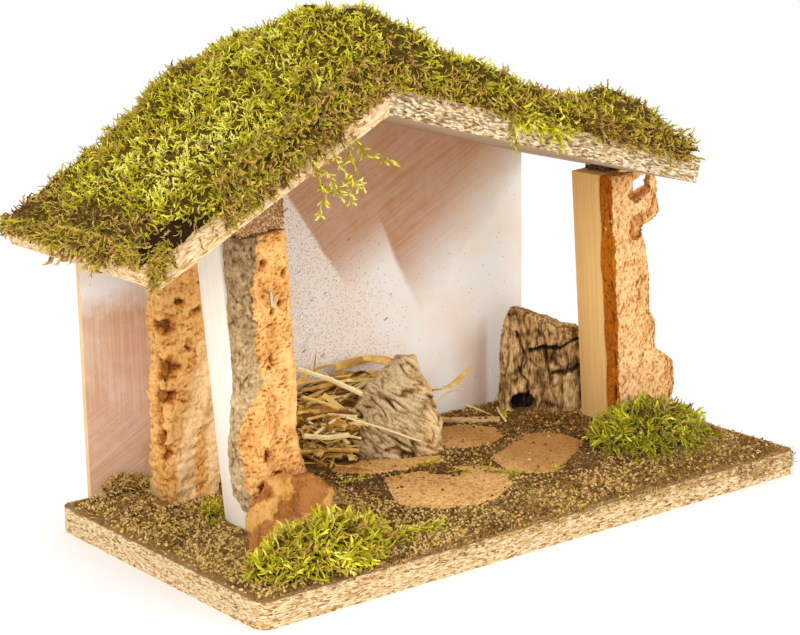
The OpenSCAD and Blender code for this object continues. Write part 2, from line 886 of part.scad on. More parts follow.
// Each pile's count of stalks, their widest turn and tilt in degrees, and a seed
back_stalks = [30, 8, 14, 211];
left_stalks = [26, 50, 12, 223];
mat_share = 0.22;
mat_shares = [
    [0, 0.1], [0.2, 0], [0.5, 0.04], [0.8, 0], [1, 0.16], [0.98, 0.6], [1, 0.94],
    [0.7, 1], [0.4, 0.97], [0.1, 1], [0.02, 0.6]
];

function pile_width(pile) = pile[2] * base_width;
function pile_depth(pile) = pile[3] * base_depth;
function pile_corner(pile) = [
    pile[0] * base_width - pile_width(pile) / 2,
    wall_front - clearance - pile[1] * base_depth - pile_depth(pile)
];

// One stalk along X, middle at the origin
module stalk(length) {
    translate([-length / 2, 0, 0])
        rotate([0, 90, 0])
            linear_extrude(length)
                circle(d = stalk_thickness, $fn = stalk_sides);
}

// Stalks thrown together, none of them past the sides of the pile
module straw_pile(pile, stalks) {
    size = [pile_width(pile), pile_depth(pile)];
    height = straw_height * pile[4];
    half = min(size[0], stalk_length) / 2;
    for (i = [0 : stalks[0] - 1]) {
        toss = rands(-1, 1, 5, stalks[3] + i);
        turn = toss[0] * stalks[1];
        tilt = toss[1] * stalks[2];
        spare = [size[0] / 2 - half * cos(turn),
                 size[1] / 2 - half * abs(sin(turn)) - stalk_thickness];
        low = half * sin(abs(tilt)) + stalk_thickness / 2;
        translate([each pile_corner(pile) + size / 2 + [toss[2] * spare[0], toss[3] * spare[1]],
                   floor_z + low + (toss[4] + 1) / 2 * (height - 2 * low)])
            rotate([0, tilt, turn])
                stalk(2 * half);
    }
}

// Trodden straw under a pile, on the base board
module mat_outline(pile) {
    translate(pile_corner(pile))
        polygon([for (p = mat_shares) [p[0] * pile_width(pile), p[1] * pile_depth(pile)]]);
}

module straw_bed() {
    color("#d2ae5a") {
        for (pile = [back_pile_shares, left_pile_shares])
            translate([0, 0, floor_z])
                linear_extrude(straw_height * mat_share)
                    mat_outline(pile);
        straw_pile(back_pile_shares, back_stalks);
        straw_pile(left_pile_shares, left_stalks);
    }
}

// Moss on the roof: a thick uneven mat that lies on both boards

moss_grit_share = 0.2;
moss_end_share = 0.4;
// Rise of the mat from the front edge to the back, and along each board from the eave
// to the ridge, in shares of the difference between its edge and its ridge
moss_round_shares = [0.4, 0.84, 1, 0.95, 1.04, 0.98, 1.02, 0.94, 0.85, 0.72, 0.62, 0.52, 0.32];
left_moss_shares = [
    0, 0.02, 0.06, 0.12, 0.18, 0.22, 0.26, 0.3, 0.4, 0.54, 0.66, 0.76, 0.86, 0.95, 1
];
right_moss_shares = [
    0, 0.3, 0.52, 0.62, 0.5, 0.42, 0.4, 0.42, 0.42, 0.44, 0.5, 0.6, 0.7, 0.78, 0.88, 0.96, 1
];

// One cross-section of the mat at x, from the front edge over the top to the back edge
function moss_ring(x, thickness, inset, grit) =
    let (n = len(moss_round_shares), front = roof_front - moss_overhang + inset,
         back = back_y - inset)
    [[x, back, roof_top(x)],
     [x, front, roof_top(x)],
     for (k = [0 : n - 1])
        [x, front + (back - front) * k / (n - 1),
         roof_top(x) + thickness * moss_round_shares[k] * (1 - moss_grit_share * grit[k])]];

// Mat from the eave at from_x to the ridge at to_x
module moss_mat(from_x, to_x, shares, seed) {
    n = len(moss_round_shares);
    m = len(shares);
    grit = pits(m * n, seed);
    rings = [for (i = [0 : m - 1])
        let (x = from_x + (to_x - from_x) * i / (m - 1),
             body = moss_edge_thickness + (moss_ridge_thickness - moss_edge_thickness) * shares[i])
        moss_ring(x, body * (i == 0 ? moss_end_share : 1),
            i == 0 ? moss_edge_thickness : 0, [for (k = [0 : n - 1]) grit[i * n + k]])];
    skin(to_x > from_x ? rings : [for (i = [m - 1 : -1 : 0]) rings[i]]);
}

module roof_moss_left() {
    color("#8a9a2c")
        moss_mat(left_eave[0] - roof_thickness * sin(left_pitch) - moss_overhang,
            roof_crown_x, left_moss_shares, 83);
}

module roof_moss_right() {
    color("#7f9130")
        moss_mat(right_eave[0] - moss_overhang / 2, roof_crown_x, right_moss_shares, 89);
}

// Clumps of moss on the crumbs

clump_rise_shares = [[0, 0.94], [0.3, 1], [0.6, 0.86], [0.84, 0.6], [0.97, 0.3], [1, 0.1]];

front_clump_width = 76;
front_clump_height = 27;
front_clump_depth_share = 0.94;
right_clump_width = 74;
right_clump_depth = 50;
right_clump_height = 24;
front_clump_shift_share = 0.56;
right_clump_shift_share = -0.1;
post_tuft_width = 16;
post_tuft_height = 8;
wall_tuft_width = 34;
wall_tuft_height = 11;
wall_tuft_share = 0.94;

// The front clump fills most of the room in front of the bark at the left post's foot
front_clump_depth = front_clump_depth_share
    * (left_post_y - left_cork_depth - clearance - foot_bark_depth - front_y);

// The tuft by the wall fills most of the room behind the rear cork and its block
wall_tuft_depth = wall_tuft_share * (rear_cork_gap - rear_block_depth);

// Each clump's middle, width, depth, height and seed
clump_sides = 18;
front_clump = [left_x + front_clump_shift_share * front_clump_width, front_y + front_clump_depth / 2,
    front_clump_width, front_clump_depth, front_clump_height, 97];
right_clump = [right_post_x + right_clump_shift_share * right_clump_width,
    right_post_y - right_cork_depth - clearance - right_clump_depth / 2,
    right_clump_width, right_clump_depth, right_clump_height, 101];
post_tuft = [left_post_x, left_post_y + post_depth + clearance + post_tuft_width / 2,
    post_tuft_width, post_tuft_width, post_tuft_height, 103];
wall_tuft = [wall_left + wall_tuft_width / 2, wall_front - clearance - wall_tuft_depth / 2,
    wall_tuft_width, wall_tuft_depth, wall_tuft_height, 107];

module clump_foot(clump) {
    translate([clump[0], clump[1]])
        polygon([for (j = [0 : clump_sides - 1])
            let (angle = 360 * j / clump_sides)
            [clump[2] / 2 * cos(angle), clump[3] / 2 * sin(angle)]]);
}

module moss_clump(clump) {
    n = clump_sides;
    grit = pits(len(clump_rise_shares) * n, clump[5]);
    translate([clump[0], clump[1], floor_z + litter_thickness])
        skin([for (i = [0 : len(clump_rise_shares) - 1])
            [for (j = [0 : n - 1])
                let (rise = clump_rise_shares[i][0],
                     reach = clump_rise_shares[i][1] * (1 - moss_grit_share * grit[i * n + j]),
                     angle = 360 * j / n)
                [clump[2] / 2 * reach * cos(angle),
                 clump[3] / 2 * reach * sin(angle),
                 clump[4] * rise]]]);
}

module moss_front_left() {
    color("#8c9c2e") moss_clump(front_clump);
}

module moss_right() {
    color("#76882a") moss_clump(right_clump);
}

module moss_post_tuft() {
    color("#8f9c3a") moss_clump(post_tuft);
}

module moss_wall_tuft() {
    color("#6f6234") moss_clump(wall_tuft);
}

base_board();
ground_litter();
flagstone_front();
flagstone_right();
flagstone_left();
flagstone_back();
floor_strip();
back_wall();
roof_board_left();
roof_board_right();
left_post();
left_post_cork();
left_post_packing();
left_post_foot_bark();
right_post();
right_post_cork();
right_post_packing();
rear_cork();
rear_cork_block();
bark_block();
bark_wedge();
straw_bed();
roof_moss_left();
roof_moss_right();
moss_front_left();
moss_right();
moss_post_tuft();
moss_wall_tuft();
base_nails();
roof_nails();
cork_staple();
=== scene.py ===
# %% [markdown]
# # A wooden nativity stable
# The real thing is a small open shed for crib figures. It has a chipboard base and roof,
# two battens clad with cork, a painted back wall, and moss glued on top. The solids of
# the part are loaded first and never change. This lesson dresses them: flat boards keep
# their solids and get a finish, and the rough pieces are rebuilt with finer relief.
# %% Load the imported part
import math

import bpy
import numpy as np
from mathutils import Matrix, Vector, noise
from mathutils.bvhtree import BVHTree


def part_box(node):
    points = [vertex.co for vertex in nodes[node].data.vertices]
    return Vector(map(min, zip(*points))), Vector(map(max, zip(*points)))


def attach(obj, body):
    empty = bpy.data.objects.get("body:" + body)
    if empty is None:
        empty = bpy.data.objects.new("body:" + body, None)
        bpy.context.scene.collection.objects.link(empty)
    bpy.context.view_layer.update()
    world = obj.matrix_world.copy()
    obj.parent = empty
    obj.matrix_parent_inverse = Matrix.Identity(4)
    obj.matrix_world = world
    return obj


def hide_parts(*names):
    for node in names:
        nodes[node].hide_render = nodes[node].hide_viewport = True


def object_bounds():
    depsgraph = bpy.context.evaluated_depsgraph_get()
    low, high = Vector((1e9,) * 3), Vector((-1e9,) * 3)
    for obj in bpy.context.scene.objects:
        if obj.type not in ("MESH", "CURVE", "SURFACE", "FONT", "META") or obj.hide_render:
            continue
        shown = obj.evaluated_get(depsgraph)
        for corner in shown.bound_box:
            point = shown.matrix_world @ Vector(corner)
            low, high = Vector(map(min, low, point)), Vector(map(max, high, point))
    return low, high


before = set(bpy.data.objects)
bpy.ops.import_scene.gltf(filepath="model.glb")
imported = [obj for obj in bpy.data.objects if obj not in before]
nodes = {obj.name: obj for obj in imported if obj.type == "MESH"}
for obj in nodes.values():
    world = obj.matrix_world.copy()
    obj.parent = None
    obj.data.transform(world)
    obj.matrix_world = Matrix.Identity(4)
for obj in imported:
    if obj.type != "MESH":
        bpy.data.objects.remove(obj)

cad_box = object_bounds()
bpy.ops.object.select_all(action="DESELECT")
print("nodes:", len(nodes), "box:", [round(v, 4) for v in (*cad_box[0], *cad_box[1])])

# %% [markdown]
# ## The camera
# The photograph was taken from the front left, a little above the roof's eaves, with a
# long lens. A long lens keeps upright edges nearly parallel. The lens follows from the
# focal length in pixels, the picture's width and the width of the sensor.
# %% Place the camera
PICTURE_WIDTH = 800
SENSOR_WIDTH = 36.0
FOCAL_PIXELS = 2078.15
AZIMUTH, ELEVATION, ROLL = (math.radians(a) for a in (-37.917, 13.645, -0.88))
CAMERA_PLACE = Vector((-0.5963, -0.7363, 0.3203))

back = Vector((math.sin(AZIMUTH) * math.cos(ELEVATION),
               -math.cos(AZIMUTH) * math.cos(ELEVATION), math.sin(ELEVATION)))
level = Vector((0, 0, 1)).cross(back).normalized()
upward = back.cross(level)
right = level * math.cos(ROLL) + upward * math.sin(ROLL)
above = upward * math.cos(ROLL) - level * math.sin(ROLL)
turned = Matrix((right, above, back)).transposed()
bpy.ops.object.camera_add(location=CAMERA_PLACE, rotation=turned.to_euler())
camera = bpy.context.object
camera.name = "camera"
camera.data.sensor_width = SENSOR_WIDTH
camera.data.lens = FOCAL_PIXELS / PICTURE_WIDTH * SENSOR_WIDTH
camera.data.clip_start, camera.data.clip_end = 0.01, 50
bpy.context.scene.camera = camera
bpy.context.scene.view_settings.view_transform = "Standard"
print("lens:", round(camera.data.lens, 1), "mm")

# %% [markdown]
# ## Helpers for finishes
# Colours are picked as sRGB hex values, the way a paint chart gives them, and a shader
# needs them linear. One helper adds a shader node, with its settings, its colour stops,
# and its inputs, which are plain values, other nodes or their outputs. Others start a
# finish, give it its colour and bump, and put it on solids that keep their shape.
# %% Colours and shader nodes
MM = 0.001


def linear(hex_colour):
    """An sRGB hex colour as linear red, green, blue and alpha."""
    parts = [int(hex_colour[k:k + 2], 16) / 255 for k in (1, 3, 5)]
    return [p / 12.92 if p <= 0.04045 else ((p + 0.055) / 1.055) ** 2.4 for p in parts] + [1]


def output(value):
    """A node's first output that is in use; any other value as it is."""
    if isinstance(value, bpy.types.Node):
        return next(socket for socket in value.outputs if socket.enabled)
    return value


def add(tree, kind, inputs=None, stops=None, **settings):
    """Adds a shader node, sets it up and fills its inputs with values, nodes or sockets."""
    made = tree.nodes.new("ShaderNode" + kind)
    for name, value in settings.items():
        setattr(made, name, value)
    for k, (place, colour) in enumerate(stops or ()):
        ramp = made.color_ramp.elements
        stop = ramp[k] if k < 2 else ramp.new(place)
        stop.position, stop.color = place, linear(colour)
    for name, value in (inputs or {}).items():
        value = output(value)
        if isinstance(value, bpy.types.NodeSocket):
            tree.links.new(value, made.inputs[name])
        else:
            made.inputs[name].default_value = value
    return made


def new_finish(name, roughness, specular=0.35):
    """A material with its tree, its shader and the coordinates that ride with the piece."""
    finish = bpy.data.materials.new(name)
    finish.use_nodes = True
    tree = finish.node_tree
    shader = tree.nodes["Principled BSDF"]
    shader.inputs["Roughness"].default_value = roughness
    shader.inputs["Specular IOR Level"].default_value = specular
    place = add(tree, "TexCoord").outputs["Object"]
    return finish, tree, shader, place


def coat(tree, shader, colour, height=None, strength=0.0, depth=0.0):
    """Gives a shader its colour, and a bump from a pattern whose depth is in mm."""
    tree.links.new(output(colour), shader.inputs["Base Color"])
    if height:
        bump = add(tree, "Bump", {"Height": height, "Strength": strength, "Distance": depth * MM})
        tree.links.new(bump.outputs[0], shader.inputs["Normal"])


def varied(tree, value, pattern, least, most):
    """A value to which a noise pattern adds from least to most."""
    spread = add(tree, "MapRange", {"Value": pattern, "From Min": 0.3, "From Max": 0.7,
                                    "To Min": least, "To Max": most})
    return add(tree, "Math", {0: value, 1: spread}, operation="ADD")


def put_on(finish, *node_names):
    """Puts a finish on solids that keep their shape."""
    for node_name in node_names:
        nodes[node_name].data.materials.clear()
        nodes[node_name].data.materials.append(finish)
    print(finish.name, "on:", *node_names)


# %% [markdown]
# ## Studio
# A product photograph has a white floor and broad soft light from several sides. The
# key lamp stands at the front left, where the photograph is brightest, a weaker one at
# the right and another above. The room gives the rest, so that a colour renders about
# as it is written.
# %% Floor, room light and three lamps
def looked_at(tree):
    """1 for what the camera sees, itself or in a gloss, and 0 for light that bounces."""
    ray = add(tree, "LightPath")
    return add(tree, "Math", {0: ray.outputs["Is Camera Ray"], 1: ray.outputs["Is Glossy Ray"]},
               operation="MAXIMUM")


bpy.ops.mesh.primitive_plane_add(size=24, location=(0, 0, 0))
floor = bpy.context.object
floor.name = "floor"
floor_finish, tree, shader, place = new_finish("pale_studio_floor", 0.9, 0.0)
speck = add(tree, "TexNoise", {"Vector": place, "Scale": 3.0, "Detail": 2.0})
tone = add(tree, "ValToRGB", {"Fac": speck}, stops=[(0.3, "#F7F7F7"), (0.7, "#FBFBFB")])
coat(tree, shader, tone)
reach = add(tree, "VectorMath", {0: place}, operation="LENGTH")
far = add(tree, "MapRange", {"Value": reach, "From Min": 0.3, "From Max": 0.75})
white = add(tree, "Emission", {"Color": (1, 1, 1, 1), "Strength": 1.0})
share = add(tree, "Math", {0: looked_at(tree), 1: far}, operation="MULTIPLY")
paper = add(tree, "MixShader", {0: share, 1: shader, 2: white})
tree.links.new(paper.outputs[0], tree.nodes["Material Output"].inputs["Surface"])
floor.data.materials.append(floor_finish)

world = bpy.data.worlds.new("studio_room")
bpy.context.scene.world = world
world.use_nodes = True
tree = world.node_tree
room = tree.nodes["Background"]
room.inputs["Color"].default_value = (0.97, 0.98, 1.0, 1)
room.inputs["Strength"].default_value = 0.75
seen = add(tree, "Background", {"Color": (1, 1, 1, 1), "Strength": 1.0})
both = add(tree, "MixShader", {"Fac": looked_at(tree), 1: room, 2: seen})
tree.links.new(both.outputs[0], tree.nodes["World Output"].inputs["Surface"])

LAMPS = [("key_lamp", (-1.7, -1.2, 1.1), 1.4, 29.0), ("fill_lamp", (0.9, -1.8, 0.8), 1.2, 13.0),
         ("top_lamp", (-0.1, 0.2, 1.9), 1.4, 9.0)]
for name, spot, size, power in LAMPS:
    aim = (Vector(spot) - Vector((0, 0, 0.1))).to_track_quat("Z", "Y").to_euler()
    bpy.ops.object.light_add(type="AREA", location=spot, rotation=aim)
    lamp = bpy.context.object
    lamp.name = name
    lamp.data.size, lamp.data.energy = size, power
print("lamps:", [row[0] for row in LAMPS])

# %% [markdown]
# ## Chipboard
# Chipboard is glued wood flakes, coarse in the middle and fine near the faces. A sawn
# edge shows the flakes end on, as short pale and brown streaks along the board with
# dark gaps. Flakes are about 3 mm long and 0.7 mm thick, so the pattern is stretched
# along the board, and for the roof it is turned to the board's own slope. The roof
# boards' undersides are sanded smooth and look an even taupe. The base is whiter and
# finer, and its top and upper rim are soiled by the glued crumbs.
# %% Finish: chipboard
ROOF_TONES = ("#8A6032", "#B48C56", "#CCAE7C", "#DEC69C", "#F0DCBC")
LEFT_TONES = ("#A87238", "#CA9A5A", "#DFB884", "#EACA9C", "#F4D8AE")
BASE_TONES = ("#805426", "#AA7F48", "#C8A46E", "#DABE8E", "#EAD5AE")


def chipboard(name, slope, flecks, grain=(400, 400, 1400), tones=ROOF_TONES, dust=0.0):
    """Raw chipboard whose flakes lie along a board that slopes by an angle about Y."""
    finish, tree, shader, place = new_finish(name, 0.85, 0.2)
    turned = add(tree, "Mapping", {"Vector": place, "Rotation": (0, slope, 0)})
    flat = add(tree, "Mapping", {"Vector": turned, "Scale": grain})
    warp = add(tree, "TexNoise", {"Vector": place, "Scale": 500.0, "Detail": 3.0})
    bent = add(tree, "VectorMath", {0: flat, 1: warp.outputs["Color"]})
    flake = add(tree, "TexVoronoi", {"Vector": bent, "Scale": 1.0})
    split = add(tree, "SeparateColor", {"Color": flake.outputs["Color"]})
    tone = add(tree, "ValToRGB", {"Fac": split}, stops=[
        (0.0, tones[0]), (1.0, tones[4]), (0.12, tones[1]), (0.3, tones[2]), (0.6, tones[3])])
    fleck = add(tree, "TexNoise", {"Vector": flat, "Scale": 0.8, "Detail": 3.0})
    dark = add(tree, "ValToRGB", {"Fac": fleck},
               stops=[(flecks - 0.07, "#5A3A16"), (flecks + 0.05, "#FFFFFF")])
    both = add(tree, "Mix", {0: 0.7, 6: tone, 7: dark}, data_type="RGBA", blend_type="MULTIPLY")
    facing = add(tree, "SeparateXYZ", {0: add(tree, "TexCoord").outputs["Normal"]})
    under = add(tree, "Math", {0: facing.outputs[2], 1: -0.5}, operation="LESS_THAN")
    haze = add(tree, "TexNoise", {"Vector": place, "Scale": 60.0, "Detail": 4.0})
    sanded = add(tree, "ValToRGB", {"Fac": haze}, stops=[(0.3, "#C4AB8C"), (0.7, "#D2BC9E")])
    height = add(tree, "SeparateXYZ", {0: place}).outputs[2]
    clods = add(tree, "TexNoise", {"Vector": place, "Scale": 160.0, "Detail": 7.0,
                                   "Roughness": 0.85})
    above = add(tree, "Math", {0: facing.outputs[2], 1: 5 * MM, 2: height},
                operation="MULTIPLY_ADD")
    ragged = add(tree, "Math", {0: clods, 1: 18 * MM, 2: above}, operation="MULTIPLY_ADD")
    soiled = add(tree, "MapRange", {"Value": ragged, "From Min": 20.6 * MM,
                                    "From Max": 21.6 * MM, "To Max": dust})
    upper = add(tree, "Mix", {0: soiled, 6: both, 7: linear("#8A6330")}, data_type="RGBA")
    final = add(tree, "Mix", {0: under, 6: upper, 7: sanded}, data_type="RGBA")
    coat(tree, shader, final, fleck, 0.5, 0.4)
    return finish


LEFT_SLOPE, RIGHT_SLOPE = math.radians(26.5), math.radians(15.4)
put_on(chipboard("raw_chipboard_base", 0, 0.33, (480, 480, 1700), BASE_TONES, 0.85), "base_board")
put_on(chipboard("raw_chipboard_left_roof", LEFT_SLOPE, 0.32, tones=LEFT_TONES), "roof_board_left")
put_on(chipboard("raw_chipboard_right_roof", -RIGHT_SLOPE, 0.47), "roof_board_right")

# %% [markdown]
# ## Helpers for making pieces
# Every piece starts as a primitive or as a merged copy of its solid, and is worked on
# with Blender's own operators. An operator acts on all that is selected, so one helper
# first clears the selection. Another adds a modifier and applies it at once, so that
# the finished piece is a plain mesh with its place in its vertices.
# %% Select, modify, copy and finish a piece
def take(*pieces):
    """Makes these objects, and nothing else, selected, the first of them active."""
    bpy.ops.object.select_all(action="DESELECT")
    for piece in pieces:
        piece.select_set(True)
    bpy.context.view_layer.objects.active = pieces[0]
    return pieces[0]


def modify(piece, kind, **settings):
    """Adds a modifier to a piece and applies it."""
    take(piece)
    modifier = piece.modifiers.new(kind.lower(), kind)
    for name, value in settings.items():
        setattr(modifier, name, value)
    bpy.ops.object.modifier_apply(modifier=modifier.name)
    return piece


def copy_of(node_name, piece_name):
    """A merged copy of a solid's mesh, as the rough shape of a new piece."""
    piece = bpy.data.objects.new(piece_name, nodes[node_name].data.copy())
    piece.data.materials.clear()
    bpy.context.collection.objects.link(piece)
    take(piece)
    bpy.ops.object.mode_set(mode="EDIT")
    bpy.ops.mesh.select_all(action="SELECT")
    bpy.ops.mesh.remove_doubles(threshold=0.01 * MM)
    bpy.ops.object.mode_set(mode="OBJECT")
    return piece


def dress(piece, finish, slot, *replaced):
    """Gives a piece its finish and its body, and hides what it stands for. Its slot is not used."""
    piece.data.materials.clear()
    piece.data.materials.append(finish)
    piece.data.polygons.foreach_set("material_index", [0] * len(piece.data.polygons))
    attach(piece, "root")
    if replaced:
        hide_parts(*replaced)
    corners = [len(polygon.vertices) - 2 for polygon in piece.data.polygons]
    print(piece.name, "triangles:", sum(corners))
    return piece


def points_of(mesh):
    """The places of a mesh's points as an array of rows."""
    places = np.empty(len(mesh.vertices) * 3)
    mesh.vertices.foreach_get("co", places)
    return places.reshape(-1, 3)


def clip(value):
    """A number, or an array of numbers, kept from 0 to 1."""
    return np.clip(value, 0, 1) if isinstance(value, np.ndarray) else min(max(value, 0), 1)


def set_value(mesh, name, values):
    """Keeps one number for each point of a mesh, for its finish to read."""
    mesh.attributes.new(name, "FLOAT", "POINT").data.foreach_set("value", np.asarray(values, float))


# %% [markdown]
# ## Moss, one frond
# Preserved moss is a tangle of small curled shoots, 3 to 8 mm long and about 1 mm
# thick, some with short blunt side shoots that point forward. A shoot is repeated
# thousands of times, so it has only a few dozen faces: a three-sided stem, cut across
# in two or three places so that it can curl, and a few three-sided side shoots. It is
# modelled once, one unit long, and every copy is scaled to its own length.
# %% Model the frond
def cone(wide, narrow, length, up=0.0, lean=0.0, side=0.0):
    """A tapered three-sided stick that starts this far up, leans, and is turned to a side."""
    middle = Vector((0, 0, up)) + Matrix.Rotation(side, 3, "Z") @ (
        Matrix.Rotation(lean, 3, "Y") @ Vector((0, 0, length / 2)))
    bpy.ops.mesh.primitive_cone_add(vertices=3, radius1=wide, radius2=narrow, depth=length,
                                    location=middle, rotation=(0, lean, side))
    return bpy.context.object


def merge(name, pieces):
    """Joins pieces in one, the first, with its place in its points."""
    take(*pieces)
    bpy.ops.object.join()
    bpy.ops.object.transform_apply(location=True, rotation=True, scale=True)
    pieces[0].name = pieces[0].data.name = name
    return pieces[0]


def cut_across(piece, heights):
    """Cuts the faces of an upright piece at these heights, so that it can bend there."""
    take(piece)
    bpy.ops.object.mode_set(mode="EDIT")
    for height in heights:
        bpy.ops.mesh.select_all(action="SELECT")
        bpy.ops.mesh.bisect(plane_co=(0, 0, height), plane_no=(0, 0, 1))
    bpy.ops.object.mode_set(mode="OBJECT")


def curl(piece, turn):
    """Rolls up a piece that stands on the origin: its tip ends turned by this angle."""
    for point in piece.data.vertices:
        angle = turn * point.co.z
        side = point.co.x
        point.co.x = (1 - math.cos(angle)) / turn + side * math.cos(angle)
        point.co.z = math.sin(angle) / turn - side * math.sin(angle)


def frond_of(name, leaves, leaf_length, stem_width, turn, cuts=(0.35, 0.7)):
    """One frond, a unit long, that grows from the origin along Z and curls towards X."""
    parts = [cone(stem_width, 0.4 * stem_width, 1.0)]
    cut_across(parts[0], cuts)
    for k in range(leaves):
        up = 0.15 + 0.7 * k / leaves
        side = math.pi * (k % 2) + 0.9 * math.sin(5.0 * k)
        parts.append(cone(0.07, 0.025, leaf_length * (1.1 - 0.5 * up), up, 0.7 - 0.2 * up, side))
    frond = merge(name, parts)
    curl(frond, turn)
    return frond


feathery = frond_of("frond_feathery", 4, 0.3, 0.085, 0.9)
curled = frond_of("frond_curled", 3, 0.26, 0.1, 1.9)
strand = frond_of("frond_bare", 1, 0.2, 0.062, 1.7, cuts=(0.25, 0.5, 0.75))
print("frond faces:", [len(frond.data.polygons) for frond in (feathery, curled, strand)])

# %% [markdown]
# ## Moss, planting the fronds
# By hand, one would paste the frond over and over. Here a function does the pasting:
# it takes roots, directions, lengths and two numbers for colour, and merges all copies
# in one mesh. One number, tint, says how green a frond is, from dry brown to fresh
# yellow-green. The other, shade, holds how far up its frond each point is. The finish
# makes each frond dark at the root and light at the tip: partly the moss's own browner
# base, and partly painted shade deep in the tangle.
# %% Plant copies of a template
def frames_for(aims, spins):
    """For each direction, two more that stand square to it, turned by a spin."""
    aims = aims / np.linalg.norm(aims, axis=1, keepdims=True)
    helper = np.where(np.abs(aims[:, 2:3]) > 0.9, [[1.0, 0, 0]], [[0, 0, 1.0]])
    first = np.cross(helper, aims)
    first /= np.linalg.norm(first, axis=1, keepdims=True)
    second = np.cross(aims, first)
    cosine, sine = np.cos(spins)[:, None], np.sin(spins)[:, None]
    return first * cosine + second * sine, second * cosine - first * sine, aims


LOWEST = np.array(cad_box[0]) + np.array((-3.5, -2, 0)) * MM
HIGHEST = np.array(cad_box[1]) + np.array((3, 2, 7)) * MM


def plant(name, template, roots, aims, lengths, tints, spins, widths=None):
    """One mesh of many copies of a template, each with its own place, turn and size.

    A copy that would reach past the object's box is moved in by as much as it would."""
    shape = points_of(template.data)
    faces = [list(polygon.vertices) for polygon in template.data.polygons]
    across, over, along = frames_for(aims, spins)
    widths = lengths if widths is None else widths
    copies = (roots[:, None, :]
              + shape[None, :, 0:1] * (across * widths[:, None])[:, None, :]
              + shape[None, :, 1:2] * (over * widths[:, None])[:, None, :]
              + shape[None, :, 2:3] * (along * lengths[:, None])[:, None, :])
    copies -= np.maximum((copies - HIGHEST).max(axis=1), 0)[:, None, :]
    copies += np.maximum((LOWEST - copies).max(axis=1), 0)[:, None, :]
    count = len(shape)
    mesh = bpy.data.meshes.new(name)
    mesh.from_pydata(copies.reshape(-1, 3).tolist(), [],
                     [[k * count + corner for corner in face]
                      for k in range(len(roots)) for face in faces])
    set_value(mesh, "tint", np.repeat(tints, count))
    set_value(mesh, "shade", np.tile(clip(np.linalg.norm(shape, axis=1)), len(roots)))
    piece = bpy.data.objects.new(name, mesh)
    bpy.context.collection.objects.link(piece)
    return piece


def plant_kinds(name, kinds, *values):
    """Plants each frond as the shape that its kind, 0 to 2, stands for; a piece for each."""
    return [plant(f"{name}_{k}", template, *(value[kinds == k] for value in values))
            for k, template in enumerate((feathery, curled, strand))]


# %% [markdown]
# ## Moss, its colours
# Fresh preserved moss is yellow-green. Old parts are tan and brown. The finish reads
# tint and shade from the mesh, and a fine noise varies the tint. Moss has hardly any
# gloss. The mats under the fronds are darker, as light doesn't reach them: their colour
# is painted shade. At the front left corner the moss has lifted off the board, and the
# hollow under it is painted darkest, as its shade. It is given by its middle in mm, and
# by a radius that is stretched along X, Y and Z.
# %% Finish: moss
def leafy(name, stops, shaded_root_colour):
    """A finish from a dark root colour, partly painted shade, to a tip colour set by the tint."""
    finish, tree, shader, place = new_finish(name, 0.8, 0.15)
    tint = add(tree, "Attribute", attribute_name="tint")
    shade = add(tree, "Attribute", attribute_name="shade")
    vary = add(tree, "TexNoise", {"Vector": place, "Scale": 260.0, "Detail": 3.0})
    total = varied(tree, tint.outputs["Fac"], vary, -0.14, 0.14)
    tip = add(tree, "ValToRGB", {"Fac": total}, stops=stops)
    # Painted shade: low on each frond the tint's colour gives way to the dark root colour.
    rise = add(tree, "MapRange", {"Value": shade.outputs["Fac"], "From Min": 0.0,
                                  "From Max": 0.7, "To Min": 0.1, "To Max": 1.0})
    body = add(tree, "Mix", {0: rise, 6: linear(shaded_root_colour), 7: tip}, data_type="RGBA")
    coat(tree, shader, body)
    return finish


MOSS_COLOURS = [(0.0, "#6A4718"), (1.0, "#F6F07C"), (0.12, "#A87A38"), (0.26, "#D4AE5C"),
                (0.4, "#BAA52E"), (0.54, "#AEA61A"), (0.7, "#D6CC20"), (0.85, "#F2E648")]
DEEP_COLOURS = [(0.0, "#4E3612"), (1.0, "#ECE870"), (0.12, "#7E5E2A"), (0.26, "#B08E4C"),
                (0.4, "#A29828"), (0.54, "#9A981A"), (0.7, "#C2BC1E"), (0.85, "#EADF44")]
DRY_COLOURS = [(0.0, "#70491A"), (1.0, "#F6F07C"), (0.12, "#B28446"), (0.26, "#E6C07E"),
               (0.4, "#D2B256"), (0.54, "#ABA21E"), (0.7, "#CCC324"), (0.85, "#EADF4C")]
moss_finish = leafy("preserved_moss_fronds", MOSS_COLOURS, "#57440F")
deep_finish = leafy("deep_green_moss_fronds", DEEP_COLOURS, "#3A2E0C")
dry_finish = leafy("dry_moss_fronds", DRY_COLOURS, "#6C4A24")

HOLLOW, HOLLOW_RADIUS, HOLLOW_STRETCH = (-167, -45, 153), 9, (2.1, 1.2, 1.15)
mat_finish, tree, shader, place = new_finish("moss_mat_in_shadow", 0.95, 0.05)
clot = add(tree, "TexNoise", {"Vector": place, "Scale": 400.0, "Detail": 5.0, "Roughness": 0.7})
tone = add(tree, "ValToRGB", {"Fac": clot},
           stops=[(0.35, "#34240A"), (0.7, "#7A6424"), (0.5, "#504016")])
# Painted shade: the mat turns nearly black close to the middle of the hollow.
off = add(tree, "VectorMath", {0: place, 1: tuple(v * MM for v in HOLLOW)}, operation="DISTANCE")
lit = add(tree, "MapRange", {"Value": off, "From Min": 15 * MM, "From Max": 21 * MM})
tone = add(tree, "Mix", {0: lit, 6: linear("#2C1D0C"), 7: tone}, data_type="RGBA")
coat(tree, shader, tone, clot, 1.0, 1.0)
print("moss finishes:", moss_finish.name, deep_finish.name, dry_finish.name, mat_finish.name)

